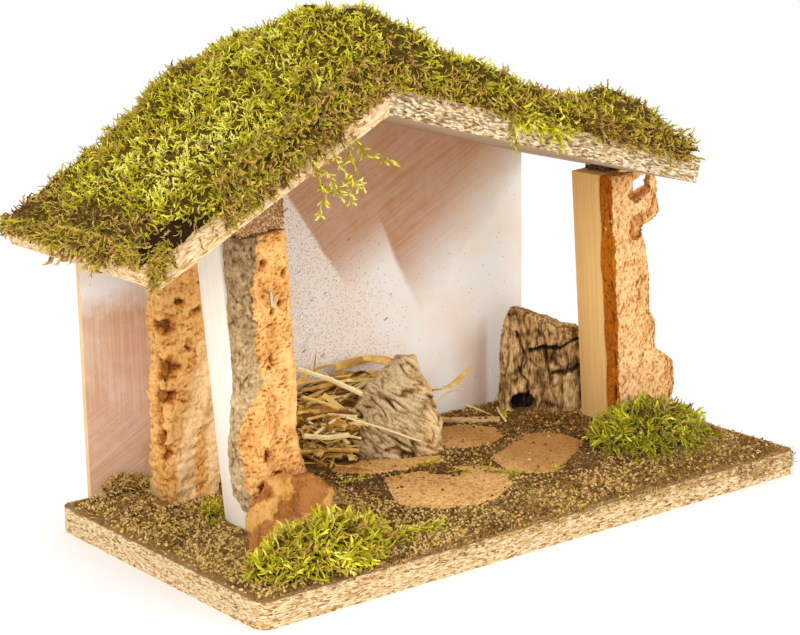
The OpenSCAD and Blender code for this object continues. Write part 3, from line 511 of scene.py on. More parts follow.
# %% [markdown]
# ## Moss, the mats under the fronds
# The sods that carry the fronds are lumpy. Each is made from a copy of the solid, drawn
# in so that the fronds' tips end about where the solid ends, then remeshed and pushed
# in and out by a cloud pattern. The moss stands higher at four places on the roof. Each
# is given by its middle, its reach along X and Y, and by how much it rises, in mm.
# %% Lumpy mats
LEFT_CROWN = Vector((-0.0602, 0, 0.2083))
LITTER_TOP = 13.2 * MM


def litter_top(x):
    """Height of the crumbs on the base, for an array of places along X."""
    return np.full(len(x), LITTER_TOP)


def board_top(x):
    """Height of the roof boards' upper faces, for an array of places along X."""
    return np.where(x < LEFT_CROWN.x, LEFT_CROWN.z - (LEFT_CROWN.x - x) * math.tan(LEFT_SLOPE),
                    LEFT_CROWN.z - (x - LEFT_CROWN.x) * math.tan(RIGHT_SLOPE))


SWELLS = [((-102, 62), (26, 30), 9), ((-45, -8), (30, 36), 9), ((95, -25), (26, 22), 8),
          ((12, -28), (24, 20), 5)]


def swollen(places, ground):
    """How much higher the roof's moss is at each place than its solid; nothing below it."""
    rise = np.zeros(len(places))
    for middle, reach, height in SWELLS:
        off = (places[:, :2] / MM - middle) / reach
        rise += height * MM * np.exp(-(off ** 2).sum(axis=1))
    return rise * clip((places[:, 2] - ground) / (8 * MM)) * (places[:, 2] > 0.1)


def mat_of(short, node_name, slot, floor_of, keep, inset):
    """A lumpy mat inside a moss solid: lower by a share and drawn in at its sides, in mm."""
    piece = copy_of(node_name, f"moss_mat_{short}")
    low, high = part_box(node_name)
    centre, half = (low + high) / 2, (high - low) / 2
    places = points_of(piece.data)
    ground = floor_of(places[:, 0])
    places[:, 2] = ground + (places[:, 2] - ground) * keep + swollen(places, ground)
    for axis in (0, 1):
        share = 1 - inset * MM / half[axis]
        places[:, axis] = centre[axis] + (places[:, axis] - centre[axis]) * share
    piece.data.vertices.foreach_set("co", places.ravel())
    modify(piece, "REMESH", mode="VOXEL", voxel_size=2 * MM)
    clouds = bpy.data.textures.new(piece.name, "CLOUDS")
    clouds.noise_scale = 9 * MM
    modify(piece, "DISPLACE", texture=clouds, texture_coords="LOCAL", strength=5 * MM,
           mid_level=0.6)
    return dress(piece, mat_finish, slot, node_name)


MATS = {"left": ("roof_moss_left", "moss", board_top, 0.9, 1),
        "right": ("roof_moss_right", "moss", board_top, 0.9, 1),
        "front": ("moss_front_left", "moss", litter_top, 0.72, 3),
        "right_clump": ("moss_right", "moss", litter_top, 0.72, 3),
        "post_tuft": ("moss_post_tuft", "moss", litter_top, 0.6, 2),
        "wall_tuft": ("moss_wall_tuft", "dry_moss", litter_top, 0.6, 2)}
mats = {short: mat_of(short, *MATS[short]) for short in ("left", "right", "front", "right_clump")}

# %% [markdown]
# ## Moss, where the fronds grow
# Roots are strewn over a mat by area, denser on its steep sides, which show more from
# the side. A frond leaves its root partly along the surface and partly outwards, never
# back into the mat, so that the moss looks tangled and not combed. Near the eaves and
# the front edge the fronds hang down and are dry, as moss is where it was cut.
# %% Strew roots and plant the sods
def strew(piece, count, chance):
    """Random places and outward directions on a mesh, by area."""
    mesh = piece.data
    mesh.calc_loop_triangles()
    corners = np.array([triangle.vertices[:] for triangle in mesh.loop_triangles])
    a, b, c = (points_of(mesh)[corners[:, k]] for k in range(3))
    cross = np.cross(b - a, c - a)
    area = np.linalg.norm(cross, axis=1)
    normals = cross / np.maximum(area, 1e-15)[:, None]
    area = np.where(normals[:, 2] < -0.35, 0, area) * np.where(normals[:, 2] < 0.6, 2.4, 1)
    pick = chance.choice(len(area), count, p=area / area.sum())
    u, v = chance.random(count), chance.random(count)
    flip = u + v > 1
    u[flip], v[flip] = 1 - u[flip], 1 - v[flip]
    places = a[pick] + u[:, None] * (b - a)[pick] + v[:, None] * (c - a)[pick]
    return places, normals[pick]


def field(places, size, seed):
    """A smooth random value, about -1 to 1, at each place."""
    shift = Vector((seed * 3.1, seed * 1.7, seed * 5.3))
    return np.array([noise.noise(Vector(place) / size + shift) for place in places])


ROOT_DEPTH = 0.8 * MM
DRY_SHARE, DRY_TINT = 0.1, 0.28


def sod(short, layer, count, greenness, seed, finish, lengths=(3.5, 6.5), droop=None, stand=0.4,
        mix=(0.4, 0.4, 0.2)):
    """Fronds over a mat, as two shapes and a few bare strands merged in one piece."""
    chance = np.random.default_rng(seed)
    places, normals = strew(mats[short], count, chance)
    outside = np.linalg.norm((places / MM - HOLLOW) / HOLLOW_STRETCH, axis=1) > HOLLOW_RADIUS
    places, normals, count = places[outside], normals[outside], int(outside.sum())
    loose = chance.normal(size=(count, 3))
    loose /= np.linalg.norm(loose, axis=1, keepdims=True)
    flow = np.stack([field(places, 14 * MM, seed), field(places, 14 * MM, seed + 1),
                     field(places, 14 * MM, seed + 2)], axis=1)
    aims = normals * stand + loose * 0.75 + flow * 1.2
    if droop is not None:
        aims[:, 2] -= droop(places)
    aims /= np.linalg.norm(aims, axis=1, keepdims=True)
    inward = np.minimum((aims * normals).sum(axis=1) - 0.3, 0)
    aims -= normals * inward[:, None]
    size = chance.uniform(*lengths, count) * MM
    tints = greenness(places) + chance.normal(0, 0.16, count)
    tints = clip(np.where(chance.random(count) < DRY_SHARE, DRY_TINT, tints))
    spins = chance.uniform(0, 2 * math.pi, count)
    kinds = chance.choice(3, count, p=mix)
    name, (node_name, slot) = f"moss_fronds_{short}{layer}", MATS[short][:2]
    parts = plant_kinds(name, kinds, places - normals * ROOT_DEPTH, aims, size, tints, spins)
    return dress(merge(name, parts), finish, slot, node_name)


def roof_green(places):
    """How green the roof's moss is: dry at the eaves, at the front edge and in patches."""
    x, y = places[:, 0], places[:, 1]
    green = 0.65 + 0.36 * field(places, 20 * MM, 4) + 0.22 * field(places, 7 * MM, 9)
    green -= 0.2 * clip((y - 0.045) / 0.03)
    green -= 0.4 * clip((-0.160 - x) / 0.012)
    green -= 0.36 * clip((-0.036 - y) / 0.008)
    green -= 0.2 * clip((x + 0.02) / 0.05)
    green += 0.34 * clip(1 - np.hypot(x + 0.13, y + 0.005) / 0.045)
    return green


def roof_droop(places):
    """How strongly fronds hang: most over the eaves and the front edge."""
    x, y = places[:, 0], places[:, 1]
    edge = np.maximum(clip((-0.034 - y) / 0.01), clip((-0.165 - x) / 0.012))
    return 0.15 + 1.1 * edge


FRONDS_PER_SOD = 3400
for side, layer, seed in (("left", 1, 21), ("left", 2, 28), ("left", 3, 35),
                          ("right", 1, 51), ("right", 2, 58)):
    sod(side, f"_{layer}", FRONDS_PER_SOD, roof_green, seed, moss_finish, droop=roof_droop)

# %% [markdown]
# ## Moss that hangs over the edges
# At the front edge of the left slope a dry brown fringe hangs down over the board, and
# on the right slope a few green tufts do. Moss also hangs over the left eave. Roots are
# strewn along the edges, and each row says from where to where, how far above the board,
# how many fronds, which way they hang, how long they are and how green. A few long
# sprigs hang free, others lie on the base, most of them by the front clump, and more
# hang round the foot of the right clump.
# %% Plant the fringes and sprigs
FRINGES = [
    ((-145, -42), (-84, -42), (-8, 2), 560, (0.1, -0.4, -0.8), (3, 6), 0.26),
    ((-86, -42), (-60, -42), (-2, 3), 200, (0.1, -0.5, -0.8), (3, 6), 0.2),
    ((-150, -42), (-60, -42), (1, 20), 620, (0.2, -0.8, -0.5), (4, 7), 0.34),
    ((-181, -43), (-176, -43), (-8, 2), 110, (0.0, -0.5, -0.9), (4, 7), 0.3),
    ((-181, -42), (-172, -42), (-4, 6), 90, (-0.1, -0.6, -0.9), (4, 8), 0.35),
    ((-60, -42), (122, -42), (0, 12), 620, (0.1, -0.9, -0.3), (4, 7), 0.42),
    ((8, -42), (44, -42), (-3, 6), 150, (0.1, -0.6, -1.0), (5, 9), 0.72),
    ((60, -42), (122, -42), (-2, 4), 130, (0.1, -0.7, -0.8), (4, 7), 0.3),
    ((-181, -40), (-181, 34), (0, 9), 330, (-0.8, -0.1, -0.5), (4, 7), 0.3),
    ((-182, -10), (-182, 34), (-5, 0), 40, (-0.3, -0.1, -1.0), (5, 9), 0.2),
    ((-181, 30), (-181, 80), (-2, 5), 160, (-0.8, -0.1, -0.6), (4, 8), 0.32),
    ((126, -40), (126, 60), (-1, 8), 220, (0.9, -0.2, -0.3), (4, 7), 0.3),
]
SPRIGS = [((-102, -43, 184), (-97, -46, 166), 0.8), ((-97, -46, 168), (-101, -47, 158), 0.9),
          ((-97, -45, 178), (-88, -47, 164), 0.85), ((-92, -44, 184), (-80, -47, 166), 0.9),
          ((-88, -46, 172), (-77, -47, 168), 0.95), ((-86, -46, 168), (-84, -47, 162), 0.9),
          ((-84, -44, 188), (-80, -46, 174), 0.6), ((-100, -45, 170), (-90, -47, 166), 0.7),
          ((-80, -43, 190), (-75, -46, 180), 0.55), ((-75, -46, 181), (-61, -47, 176), 0.75),
          ((6, -44, 186), (9, -48, 172), 0.6), ((20, -44, 190), (22, -48, 176), 0.75),
          ((26, -44, 186), (36, -49, 172), 0.75), ((34, -44, 184), (32, -49, 171), 0.7),
          ((105, -44, 167), (107, -46, 152), 0.35), ((-160, -44, 163), (-158, -46, 150), 0.15),
          ((-166, -44, 161), (-170, -46, 150), 0.2), ((-172, -44, 158), (-171, -46, 146), 0.15),
          ((-154, -44, 165), (-150, -46, 154), 0.2)]
TAIL = [((-92, -66, 15), (-62, -60, 16), 0.7), ((-90, -62, 18), (-56, -58, 15), 0.8),
        ((-84, -68, 14), (-66, -66, 14), 0.5), ((-70, -58, 16), (-42, -58, 14), 0.85),
        ((-78, -60, 17), (-48, -62, 14), 0.75), ((-6, 14, 15), (8, 12, 15), 0.6),
        ((3, -5, 15), (12, -8, 15), 0.7), ((15, -12, 15), (24, -24, 14), 0.62),
        ((12, -32, 14), (26, -28, 14), 0.6), ((-46, 14, 14), (-32, 19, 14), 0.8),
        ((44, -36, 14), (49, -24, 14), 0.75), ((80, 44, 14), (92, 60, 14), 0.6),
        ((-112, -22, 14), (-100, -14, 14), 0.5), ((-128, 8, 14), (-112, 10, 14), 0.55)]
SKIRT = [((100, -44, 24), (95, -61, 14), 0.6), ((112, -46, 26), (107, -63, 14), 0.7),
         ((90, -38, 22), (80, -53, 14), 0.6), ((121, -46, 24), (124, -62, 14), 0.45),
         ((84, -28, 20), (72, -38, 14), 0.55), ((106, -48, 22), (101, -64, 14), 0.4),
         ((94, -42, 20), (88, -58, 14), 0.7), ((116, -48, 20), (117, -64, 14), 0.6),
         ((134, -36, 22), (146, -46, 14), 0.5), ((130, -42, 22), (138, -56, 14), 0.6)]
chance = np.random.default_rng(91)
parts = []
for start, end, heights, count, aim, lengths, green in FRINGES:
    share = chance.random(count)
    spots = np.empty((count, 3))
    for axis in (0, 1):
        spots[:, axis] = (start[axis] + (end[axis] - start[axis]) * share) * MM
    spots += chance.normal(0, 0.7 * MM, (count, 3))
    spots[:, 2] = board_top(spots[:, 0]) + chance.uniform(*heights, count) * MM
    aims = np.array(aim) + chance.normal(0, 0.4, (count, 3))
    tints = clip(green + 0.25 * field(spots, 9 * MM, 61) + chance.normal(0, 0.12, count))
    kinds = chance.choice(3, count, p=[0.3, 0.45, 0.25])
    size, spins = chance.uniform(*lengths, count) * MM, chance.uniform(0, 6.28, count)
    parts += plant_kinds(f"fringe_{len(parts)}", kinds, spots, aims, size, tints, spins)


def sprig(name, first, last, green):
    """A row of short fronds that follow each other from one place to another, in mm."""
    path = np.array(last, float) - first
    reach = np.linalg.norm(path)
    steps = np.linspace(0, 0.85, int(reach / 1.0))
    roots = np.array(first) + steps[:, None] * path + chance.normal(0, 0.4, (len(steps), 3))
    aims = path / reach + chance.normal(0, 0.4, (len(steps), 3))
    return plant(name, feathery if green > 0.4 else strand, roots * MM, aims,
                 chance.uniform(3, 5.2, len(steps)) * MM,
                 clip(green + chance.normal(0, 0.08, len(steps))),
                 chance.uniform(0, 6.28, len(steps)))


for name, rows, first_parts, finish, replaced in (
        ("moss_fringe", SPRIGS, parts, moss_finish, ("roof_moss_left", "roof_moss_right")),
        ("moss_tail", TAIL, [], moss_finish, ("moss_front_left",)),
        ("moss_skirt", SKIRT, [], deep_finish, ("moss_right",))):
    sprigs = [sprig(f"{name}_sprig_{k}", *row) for k, row in enumerate(rows)]
    dress(merge(name, first_parts + sprigs), finish, "moss", *replaced)

# %% [markdown]
# ## Clumps of moss on the base
# Two round clumps of fresh moss are glued on the base, one in front of each post, and
# two small tufts, a green one behind the left post and a dry one by the wall. The clump
# at the right is a deeper green with some yellow tips.
# %% Plant the clumps and tufts
def patchy(level, spread, size, seed):
    """Moss that is about this green, more or less so in patches of a size in mm."""
    return lambda places: level + spread * field(places, size * MM, seed)


CLUMP = {"lengths": (5, 10), "stand": 0.5, "mix": (0.25, 0.35, 0.4)}
sod("front", "", 1500, patchy(0.54, 0.36, 9, 3), 71, moss_finish, **CLUMP)
sod("right_clump", "", 1700, patchy(0.56, 0.5, 8, 13), 77, deep_finish, **CLUMP)
for short, count, green, seed, finish in (("post_tuft", 170, 0.5, 83, moss_finish),
                                          ("wall_tuft", 420, 0.25, 87, dry_finish)):
    mats[short] = mat_of(short, *MATS[short])
    sod(short, "", count, patchy(green, 0.25, 6, 5), seed, finish, lengths=(4, 7))

# %% [markdown]
# ## Cork and bark, carving
# Cork and bark have relief that follows the tree: fissures run up the trunk, scales
# break across it, and cork is full of small pits. A copy of the solid is remeshed to
# 0.5 to 0.85 mm. Then a small function, one for each piece, takes a point's place in mm
# and gives three numbers: how deep the point is pushed in, how dark its hollow is, and
# whether it is bark. The last two are kept on the mesh for the finish. The dark of a
# hollow is partly its own darker colour and partly painted shade.
# %% The carving tool and its patterns
def scaled(q, size, seed):
    """A place in units of a grain's size in mm, which may differ along X, Y and Z."""
    x, y, z = size if isinstance(size, tuple) else (size, size, size)
    return Vector((q[0] / x + seed, q[1] / y, q[2] / z))


def rough(q, size, seed=0.0):
    """A smooth random value from -1 to 1."""
    return noise.noise(scaled(q, size, seed))


def crackle(q, size, seed=0.0, width=0.4):
    """0 on the cracks between scales of about this size, rising to 1 within a scale."""
    near = noise.voronoi(scaled(q, size, seed))[0]
    return min((near[1] - near[0]) / width, 1.0)


def grooves(q, size, width, seed=0.0):
    """1 in the middle of long wavy grooves that follow the grain, 0 between them."""
    return max(0.0, 1 - abs(rough(q, size, seed)) / width)


def pitted(q, size, share, seed=0.0):
    """0 on the plain surface, rising to 1 in the middle of scattered pits."""
    near, spots = noise.voronoi(scaled(q, size, seed))
    chosen = (math.sin(spots[0].x * 12.9898 + spots[0].y * 78.233 + spots[0].z * 37.719)
              * 43758.5453) % 1 < share
    return max(0.0, 1 - near[0] / 0.5) if chosen else 0.0


def dent(u, w, middle, half):
    """1 in the middle of an oval dent, falling to 0 at its rim."""
    return max(0.0, 1 - math.hypot((u - middle[0]) / half[0], (w - middle[1]) / half[1]) ** 2)


def carve(node_name, piece_name, grain, relief, finish, slot):
    """A finely remeshed copy of a solid, carved by relief(q), with its two numbers kept."""
    piece = modify(copy_of(node_name, piece_name), "REMESH", mode="VOXEL", voxel_size=grain * MM)
    places = points_of(piece.data)
    normals = np.empty(len(places) * 3)
    piece.data.vertex_normals.foreach_get("vector", normals)
    cuts = np.array([relief(q) for q in places / MM])
    places -= normals.reshape(-1, 3) * cuts[:, 0:1] * MM
    piece.data.vertices.foreach_set("co", places.ravel())
    set_value(piece.data, "hollow", cuts[:, 1])
    set_value(piece.data, "bark", cuts[:, 2])
    bpy.ops.object.shade_smooth()
    return dress(piece, finish, slot, node_name)


def on_post(q, foot, lean):
    """Place on a leaning post: across it and up it, in mm, seen from the front."""
    across, up = q[0] - foot[0], q[2] - foot[1]
    return (across * math.cos(lean) + up * math.sin(lean),
            up * math.cos(lean) - across * math.sin(lean))


def on_turned(q, middle, turn):
    """Place on a piece turned about Z: across it and back from its middle, and up, in mm."""
    x, y = q[0] - middle[0], q[1] - middle[1]
    return (x * math.cos(turn) + y * math.sin(turn), y * math.cos(turn) - x * math.sin(turn),
            q[2] - BASE_HEIGHT)


BASE_HEIGHT = 12.0
LEFT_FOOT, LEFT_LEAN = (-115.5, BASE_HEIGHT), math.radians(4.6)
RIGHT_FOOT, RIGHT_LEAN = (120.5, BASE_HEIGHT), math.radians(3.6)

# %% [markdown]
# ## Cork and bark, their colours
# Cork oak bark is orange-brown inside and grey-brown outside. Both kinds show on one
# slab. The finish mixes them by the number named bark, and the number named hollow
# takes each of them down to a dark tone in its pits and fissures, partly their own
# colour and partly painted shade.
# %% Finish: cork and bark
def barky(name, cork, bark, grain=(900, 900, 450)):
    """Cork and bark; each is given by four tones, from plain surface to deep pit, whose dark tone
    is partly painted shade.
    """
    finish, tree, shader, place = new_finish(name, 0.85, 0.2)
    hollow = add(tree, "Attribute", attribute_name="hollow")
    kind = add(tree, "Attribute", attribute_name="bark")
    stretched = add(tree, "Mapping", {"Vector": place, "Scale": grain})
    fine = add(tree, "TexNoise", {"Vector": stretched, "Scale": 1.0, "Detail": 4.0,
                                  "Roughness": 0.65})
    broad = add(tree, "TexNoise", {"Vector": place, "Scale": 70.0, "Detail": 3.0})
    deep = varied(tree, hollow.outputs["Fac"], fine, -0.2, 0.22)
    deep = varied(tree, deep, broad, -0.12, 0.12)
    tones = [add(tree, "ValToRGB", {"Fac": deep},
                 stops=[(0.0, row[0]), (1.0, row[3]), (0.25, row[1]), (0.6, row[2])])
             for row in (cork, bark)]
    both = add(tree, "Mix", {0: kind.outputs["Fac"], 6: tones[0], 7: tones[1]}, data_type="RGBA")
    coat(tree, shader, both, fine, 0.6, 0.35)
    return finish


GREY_BARK = ("#E2C496", "#BE9E70", "#8E704A", "#3E2C1A")
left_cork_finish = barky("cork_oak_bark", ("#F6C078", "#E0A258", "#AE6A26", "#4C240A"), GREY_BARK)
face_finish = barky("sawn_cork_slab", ("#FBD196", "#EBB776", "#BC7832", "#6E3610"),
                    ("#CA7A12", "#AA5A04", "#7C3C00", "#422000"))
rear_finish = barky("rough_cork_bark", ("#EAB66E", "#D4964A", "#A25E22", "#4E2209"),
                    ("#F4D09A", "#E2B272", "#AE7E46", "#56381E"))
grey_finish = barky("old_grey_bark", ("#EACA92", "#C49C62", "#7C5832", "#140C06"),
                    ("#F6D8A2", "#DAB27A", "#9A7446", "#24170A"), grain=(900, 900, 260))
wedge_finish = barky("pale_fissured_bark", ("#DCC498", "#C2A476", "#8F7048", "#3A2814"),
                     ("#F0D09A", "#D9B278", "#A87E4A", "#4A3018"), grain=(700, 700, 700))
inner_finish = barky("smooth_inner_bark", ("#B0723A", "#985C28", "#72421A", "#341A08"),
                     ("#DAA45C", "#C28438", "#945C20", "#46280C"))
chip_finishes = {
    "left": barky("pale_bark_chips", ("#F0C896", "#CE9F6C", "#976E46", "#553A20"), GREY_BARK),
    "right": barky("dark_bark_chips", ("#A98C68", "#846848", "#543E2A", "#201508"), GREY_BARK)}
print("bark finishes:", left_cork_finish.name, face_finish.name, rear_finish.name,
      grey_finish.name, wedge_finish.name, inner_finish.name)

# %% [markdown]
# ## Cork on the left post
# Its left strip still has the tree's scaly grey bark. The rest is bare orange cork with
# short pits across it, a few deeper holes, and a smooth cut band down its right edge.
# The border between both and the holes' places are read off the photograph, as places
# across and up the post in mm.
# %% Carve the left cork
BARK_BORDER = ([0, 16, 29, 44, 53, 62, 66, 72, 81, 89, 97, 108, 126, 140],
               [-2.7, -2.7, -5, -5.4, -3.2, 0, 3.3, 7.3, 6.1, 4.9, 6.9, 6.1, 9.5, 13])
LEFT_HOLES = [((13.8, 122.8), (2.2, 2.0)), ((24.2, 116.1), (2.0, 2.4)), ((15.7, 100.5), (1.8, 2.2)),
              ((20.2, 103.5), (1.5, 2.0)), ((13.3, 80.0), (1.6, 3.4)), ((11.2, 76.6), (1.6, 1.6)),
              ((5.6, 38.1), (1.7, 4.0)), ((11.2, 28.0), (2.0, 1.2)), ((2.7, 23.1), (2.6, 4.2)),
              ((-9.5, 21.5), (2.4, 2.6))]


def left_cork_relief(q):
    u, w = on_post(q, LEFT_FOOT, LEFT_LEAN)
    border = float(np.interp(w, *BARK_BORDER)) + 1.6 * rough(q, 3, 7)
    bark = 1.0 if u < border else 0.0
    if bark:
        bent = (q[0] + 1.5 * rough(q, 4), q[1], q[2] + rough(q, 5, 9))
        scale = crackle(bent, (5.2, 6, 4.4), 3, 0.14) * min(0.6 + max(0, rough(q, 6, 41)), 1)
        split = grooves(bent, (2.4, 4, 8), 0.14, 3) * clip(0.3 + 1.8 * rough(q, (5, 5, 8), 31))
        mottle = max(0, rough(q, (1.5, 1.5, 1.3), 5)) + 0.6 * max(0, rough(q, (3.5, 3.5, 4.5), 14))
        dark = 0.25 * clip((w - 60) / 40)
        return (0.4 * (1 - scale) + 0.9 * split + 0.8 * rough(q, (5, 5, 6), 2) + 0.6 * mottle,
                min(0.02 + dark + 0.25 * (1 - scale) + 0.6 * split + 0.55 * mottle, 1), 1.0)
    band = min(max((w - 30) / 20, 0), max((84 - w) / 12, 0), 1) * clip((u - 20) / 2)
    busy = (0.35 + 0.65 * (1 if 66 < w < 100 else 0)) * (1 - band)
    pits = pitted(q, (2.8, 2.8, 1.2), 0.6 * busy + 0.15, 1) * (1 - 0.8 * band)
    pits = max(pits, 0.8 * pitted(q, (1.5, 1.5, 0.9), 0.45, 4) * (1 - band))
    lines = grooves(q, (6, 6, 1.6), 0.09, 15) * busy * max(0, rough(q, 4, 18))
    hole = max(dent(u, w, *row) for row in LEFT_HOLES) if q[1] < -14 else 0
    step = 0.9 * clip((u - border) / 2)
    depth = 1.2 * pits + 2.2 * hole + 0.8 * lines + 0.6 * rough(q, (5, 5, 2.5), 9) + step
    shade = 0.14 + 0.8 * pits + 0.7 * hole + 1.2 * lines - 0.14 * band
    return depth, min(shade + 0.3 * rough(q, (7, 7, 9), 23), 1), 0.0


carve("left_post_cork", "left_cork_slab", 0.62, left_cork_relief, left_cork_finish, "cork_bark")

# %% [markdown]
# ## Cork on the right post
# This slab was sawn. Its face is pale peach with short upright pits and its cut left
# side is dark orange. A painted shadow darkens the face along its right rim. The number
# named bark marks the cut side here.
# %% Carve the right cork
def right_cork_relief(q):
    u, w = on_post(q, RIGHT_FOOT, RIGHT_LEAN)
    cut = 1.0 if u < 1.2 + 0.7 * rough(q, (3, 3, 4), 6) and q[1] > 0.9 else 0.0
    if cut:
        pits = max(pitted(q, (2.4, 2.4, 2.0), 0.35, 8), 0.7 * pitted(q, (1.2, 1.2, 1.1), 0.5, 2))
        line = 1 - min(abs(q[1] - 4.5 - rough(q, (20, 20, 9), 3)) / 0.9, 1)
        line *= max(0, rough(q, (9, 9, 7), 12)) * 2.2
        return 0.8 * pits + 1.2 * line, min(0.15 + 0.6 * pits + 0.7 * line, 1), 1.0
    pits = max(pitted(q, (1.9, 1.9, 3.2), 0.5, 1), 0.75 * pitted(q, (1.2, 1.2, 1.7), 0.5, 5))
    fold = grooves(q, (1.8, 1.8, 5), 0.14, 21) * clip(0.2 + 1.2 * rough(q, 5, 30))
    fold = max(fold, 0.7 * grooves(q, (1.5, 1.5, 3.2), 0.14, 11))
    depth = 0.9 * pits + 1.0 * fold + 0.5 * rough(q, (6, 6, 9), 4)
    pink = max(dent(u, w, (10, 97.5), (9, 2.2)), dent(u, w, (11, 85), (10, 2.2)))
    top = clip((w - 122) / 8) * clip((16 - u) / 6) * 0.25
    # Painted shadow: a dark rim along the right of the face.
    edge = clip((abs(q[1] - 5) - 4.2) / -1.5) * (1 if u > 14 else 0) * 0.35
    return depth, min(0.06 + 0.7 * pits + 0.6 * fold + 0.22 * pink + top + edge, 1), 0.0


carve("right_post_cork", "right_cork_slab", 0.62, right_cork_relief, face_finish, "cork_slab")

# %% [markdown]
# ## Cork behind the left post
# The rear slab is the roughest. Its upper part is eaten into deep cavities, painted
# dark red-brown, partly as their shade; its lower part is paler and calmer.
# %% Carve the rear cork
CAVITIES = [((-121.5, 97), (7, 3.6)), ((-121, 77), (7, 5.5)), ((-122.5, 64), (6.5, 5)),
            ((-127.5, 54), (5, 6.5)), ((-126, 45), (4.5, 6.5)), ((-122.5, 37), (3, 4.5)),
            ((-109.5, 85.5), (2.4, 1.8)), ((-104, 102), (2.6, 1.5)), ((-113, 108), (3, 1.4))]
GREY_BORDER = ([12, 17, 30, 45, 52, 62, 68, 79, 86, 92, 100],
               [-118, -118, -119, -116, -113, -111, -111, -107, -104, -96, -80])


def rear_cork_relief(q):
    x, z = q[0] + 2.6 * rough(q, 4, 3), q[2] + 2.6 * rough(q, 4, 8)
    grey = 1.0 if x > float(np.interp(z, *GREY_BORDER)) else 0.0
    if grey and z < 47 and -108 < x < -101.5:
        grey = 0.0
    cave = max(dent(x, z, *row) for row in CAVITIES) if q[1] < 52 else 0
    lumps = rough((x, q[1], z), (6, 6, 2.6), 1)
    lines = grooves((x, q[1], z), (7, 7, 2.4), 0.1, 4) * (1 - grey)
    pits = max(pitted(q, (2.2, 2.2, 1.5), 0.4, 4), 0.7 * pitted(q, (1.3, 1.3, 1.1), 0.5, 7))
    cracks = grooves((x, q[1], z), (2.2, 3, 8), 0.16, 9) * (0.5 + 0.5 * rough(q, (5, 5, 7), 12))
    cracks += 0.5 * max(0, rough((x, q[1], z), (1.3, 2, 5), 19))
    depth = 4.5 * cave + 0.9 * pits + 1.1 * lines + 1.1 * lumps + 0.7 * cracks * grey
    # Painted shade: the cavities are darkened as well as carved.
    shade = 0.02 + 0.6 * min(1.4 * cave, 1) + 0.45 * pits + 0.5 * lines + 0.4 * cracks * grey
    return depth, min(shade + 0.12 * rough(q, 8, 33), 1), grey


carve("rear_cork", "rear_cork_slab", 0.85, rear_cork_relief, rear_finish, "cork_bark")

# %% [markdown]
# ## The bark block by the right post
# A piece of old bark with fine grain that runs up it, two dark cracks that cross it in
# arcs, a third that runs down, and a knot hole at its foot, painted black inside as its
# shade. Its paler tones are painted light over its right side, where the post shades it,
# and also cover its left edge and its top. The cracks' places are given on its front
# face, across from its left edge and up, in mm.
# %% Carve the bark block
BLOCK_TURN = math.radians(-40)
BLOCK_CORNER = (122.9, 34.753)
BLOCK_WIDTH = 44.0
CROSS_CRACKS = [([14.5, 21.8, 29.4, 32.7, 38.1, 43.1], [34, 35.6, 35, 39, 42.5, 44.6]),
                ([25, 27, 34.8, 40.4, 43], [21.5, 22, 23.1, 27.6, 31])]
DOWN_CRACK = ([6, 17.4, 22.1, 33.5, 45], [15, 13.9, 10.8, 12.4, 9])


def on_block(q):
    """Place on the turned block: across it from its left edge, back from its front, up."""
    across, behind, up = on_turned(q, BLOCK_CORNER, BLOCK_TURN)
    return across + BLOCK_WIDTH, behind, up


def block_relief(q):
    across, behind, up = on_block(q)
    bent = (across + 1.0 * rough((across, behind, up), (5, 5, 9), 2), behind, up)
    grain = grooves(bent, (1.3, 3, 11), 0.2, 4) * clip(0.5 + 1.6 * rough(bent, (4, 6, 7), 9))
    fine = grooves(bent, (0.8, 2, 5), 0.2, 8)
    arcs = 0.0
    if behind < 7:
        for places, heights in CROSS_CRACKS:
            if places[0] < across < places[-1]:
                line = float(np.interp(across, places, heights)) + 0.8 * rough(bent, 3, 5)
                arcs = max(arcs, 1 - abs(up - line) / (1.5 + 1.2 * rough(bent, 3, 3)))
        if DOWN_CRACK[0][0] < up < DOWN_CRACK[0][-1]:
            line = float(np.interp(up, *DOWN_CRACK)) + 0.8 * rough(bent, (3, 3, 5), 15)
            arcs = max(arcs, 0.7 - abs(across - line) / 1.3)
    hollow = max(dent(across, up, (25, 30.5), (9, 6)), 0.8 * dent(across, up, (35, 27), (8, 5)))
    split = 1 - crackle(bent, (8, 9, 22), 6, 0.14)
    # Painted shade: the knot hole is coloured black inside.
    knot = max(0, 1 - math.hypot(across - 11.9, up - 5.2) / 8.5) if behind < 14 else 0
    depth = (0.9 * grain + 0.3 * fine + 1.8 * arcs + 0.8 * split + 0.6 * rough(bent, (5, 6, 12), 19)
             + 1.0 * hollow - 0.5)
    shade = (0.1 + 0.5 * grain + 0.22 * fine + 0.9 * arcs + 0.35 * split + 0.4 * hollow
             + 4.0 * max(0, knot - 0.2) + 0.25 * rough(bent, (9, 9, 12), 27)
             + 0.55 * max(0, rough(bent, (2.6, 4, 5), 41)))
    # Painted light: paler tones towards the right side, in the post's shade; the left edge and the
    # top are paler too.
    pale = clip((15 - across) / 8 + (up - 44) / 12 + (across - 30) / 9)
    return depth, clip(shade), pale


piece = carve("bark_block", "bark_block_grained", 0.6, block_relief, grey_finish, "grey_bark")
for point in piece.data.vertices:
    across, behind, up = on_block(point.co / MM)
    wider = (1.0 + 0.13 * across) * MM
    point.co.x += wider * math.cos(BLOCK_TURN)
    point.co.y += wider * math.sin(BLOCK_TURN)
    point.co.z -= 3.5 * MM * clip((across - 12) / 18) * clip((up - 36) / 12)

# %% [markdown]
# ## The bark piece on the floor
# It leans on the straw. It is pale and fairly smooth, with thin slanting fissures that
# run down to the right, painted darker at its foot on the left as shade, and with a
# small arch where it meets the floor.
# %% Carve the bark piece
WEDGE_MIDDLE, WEDGE_TURN = (5.44, 39.85), math.radians(-24)


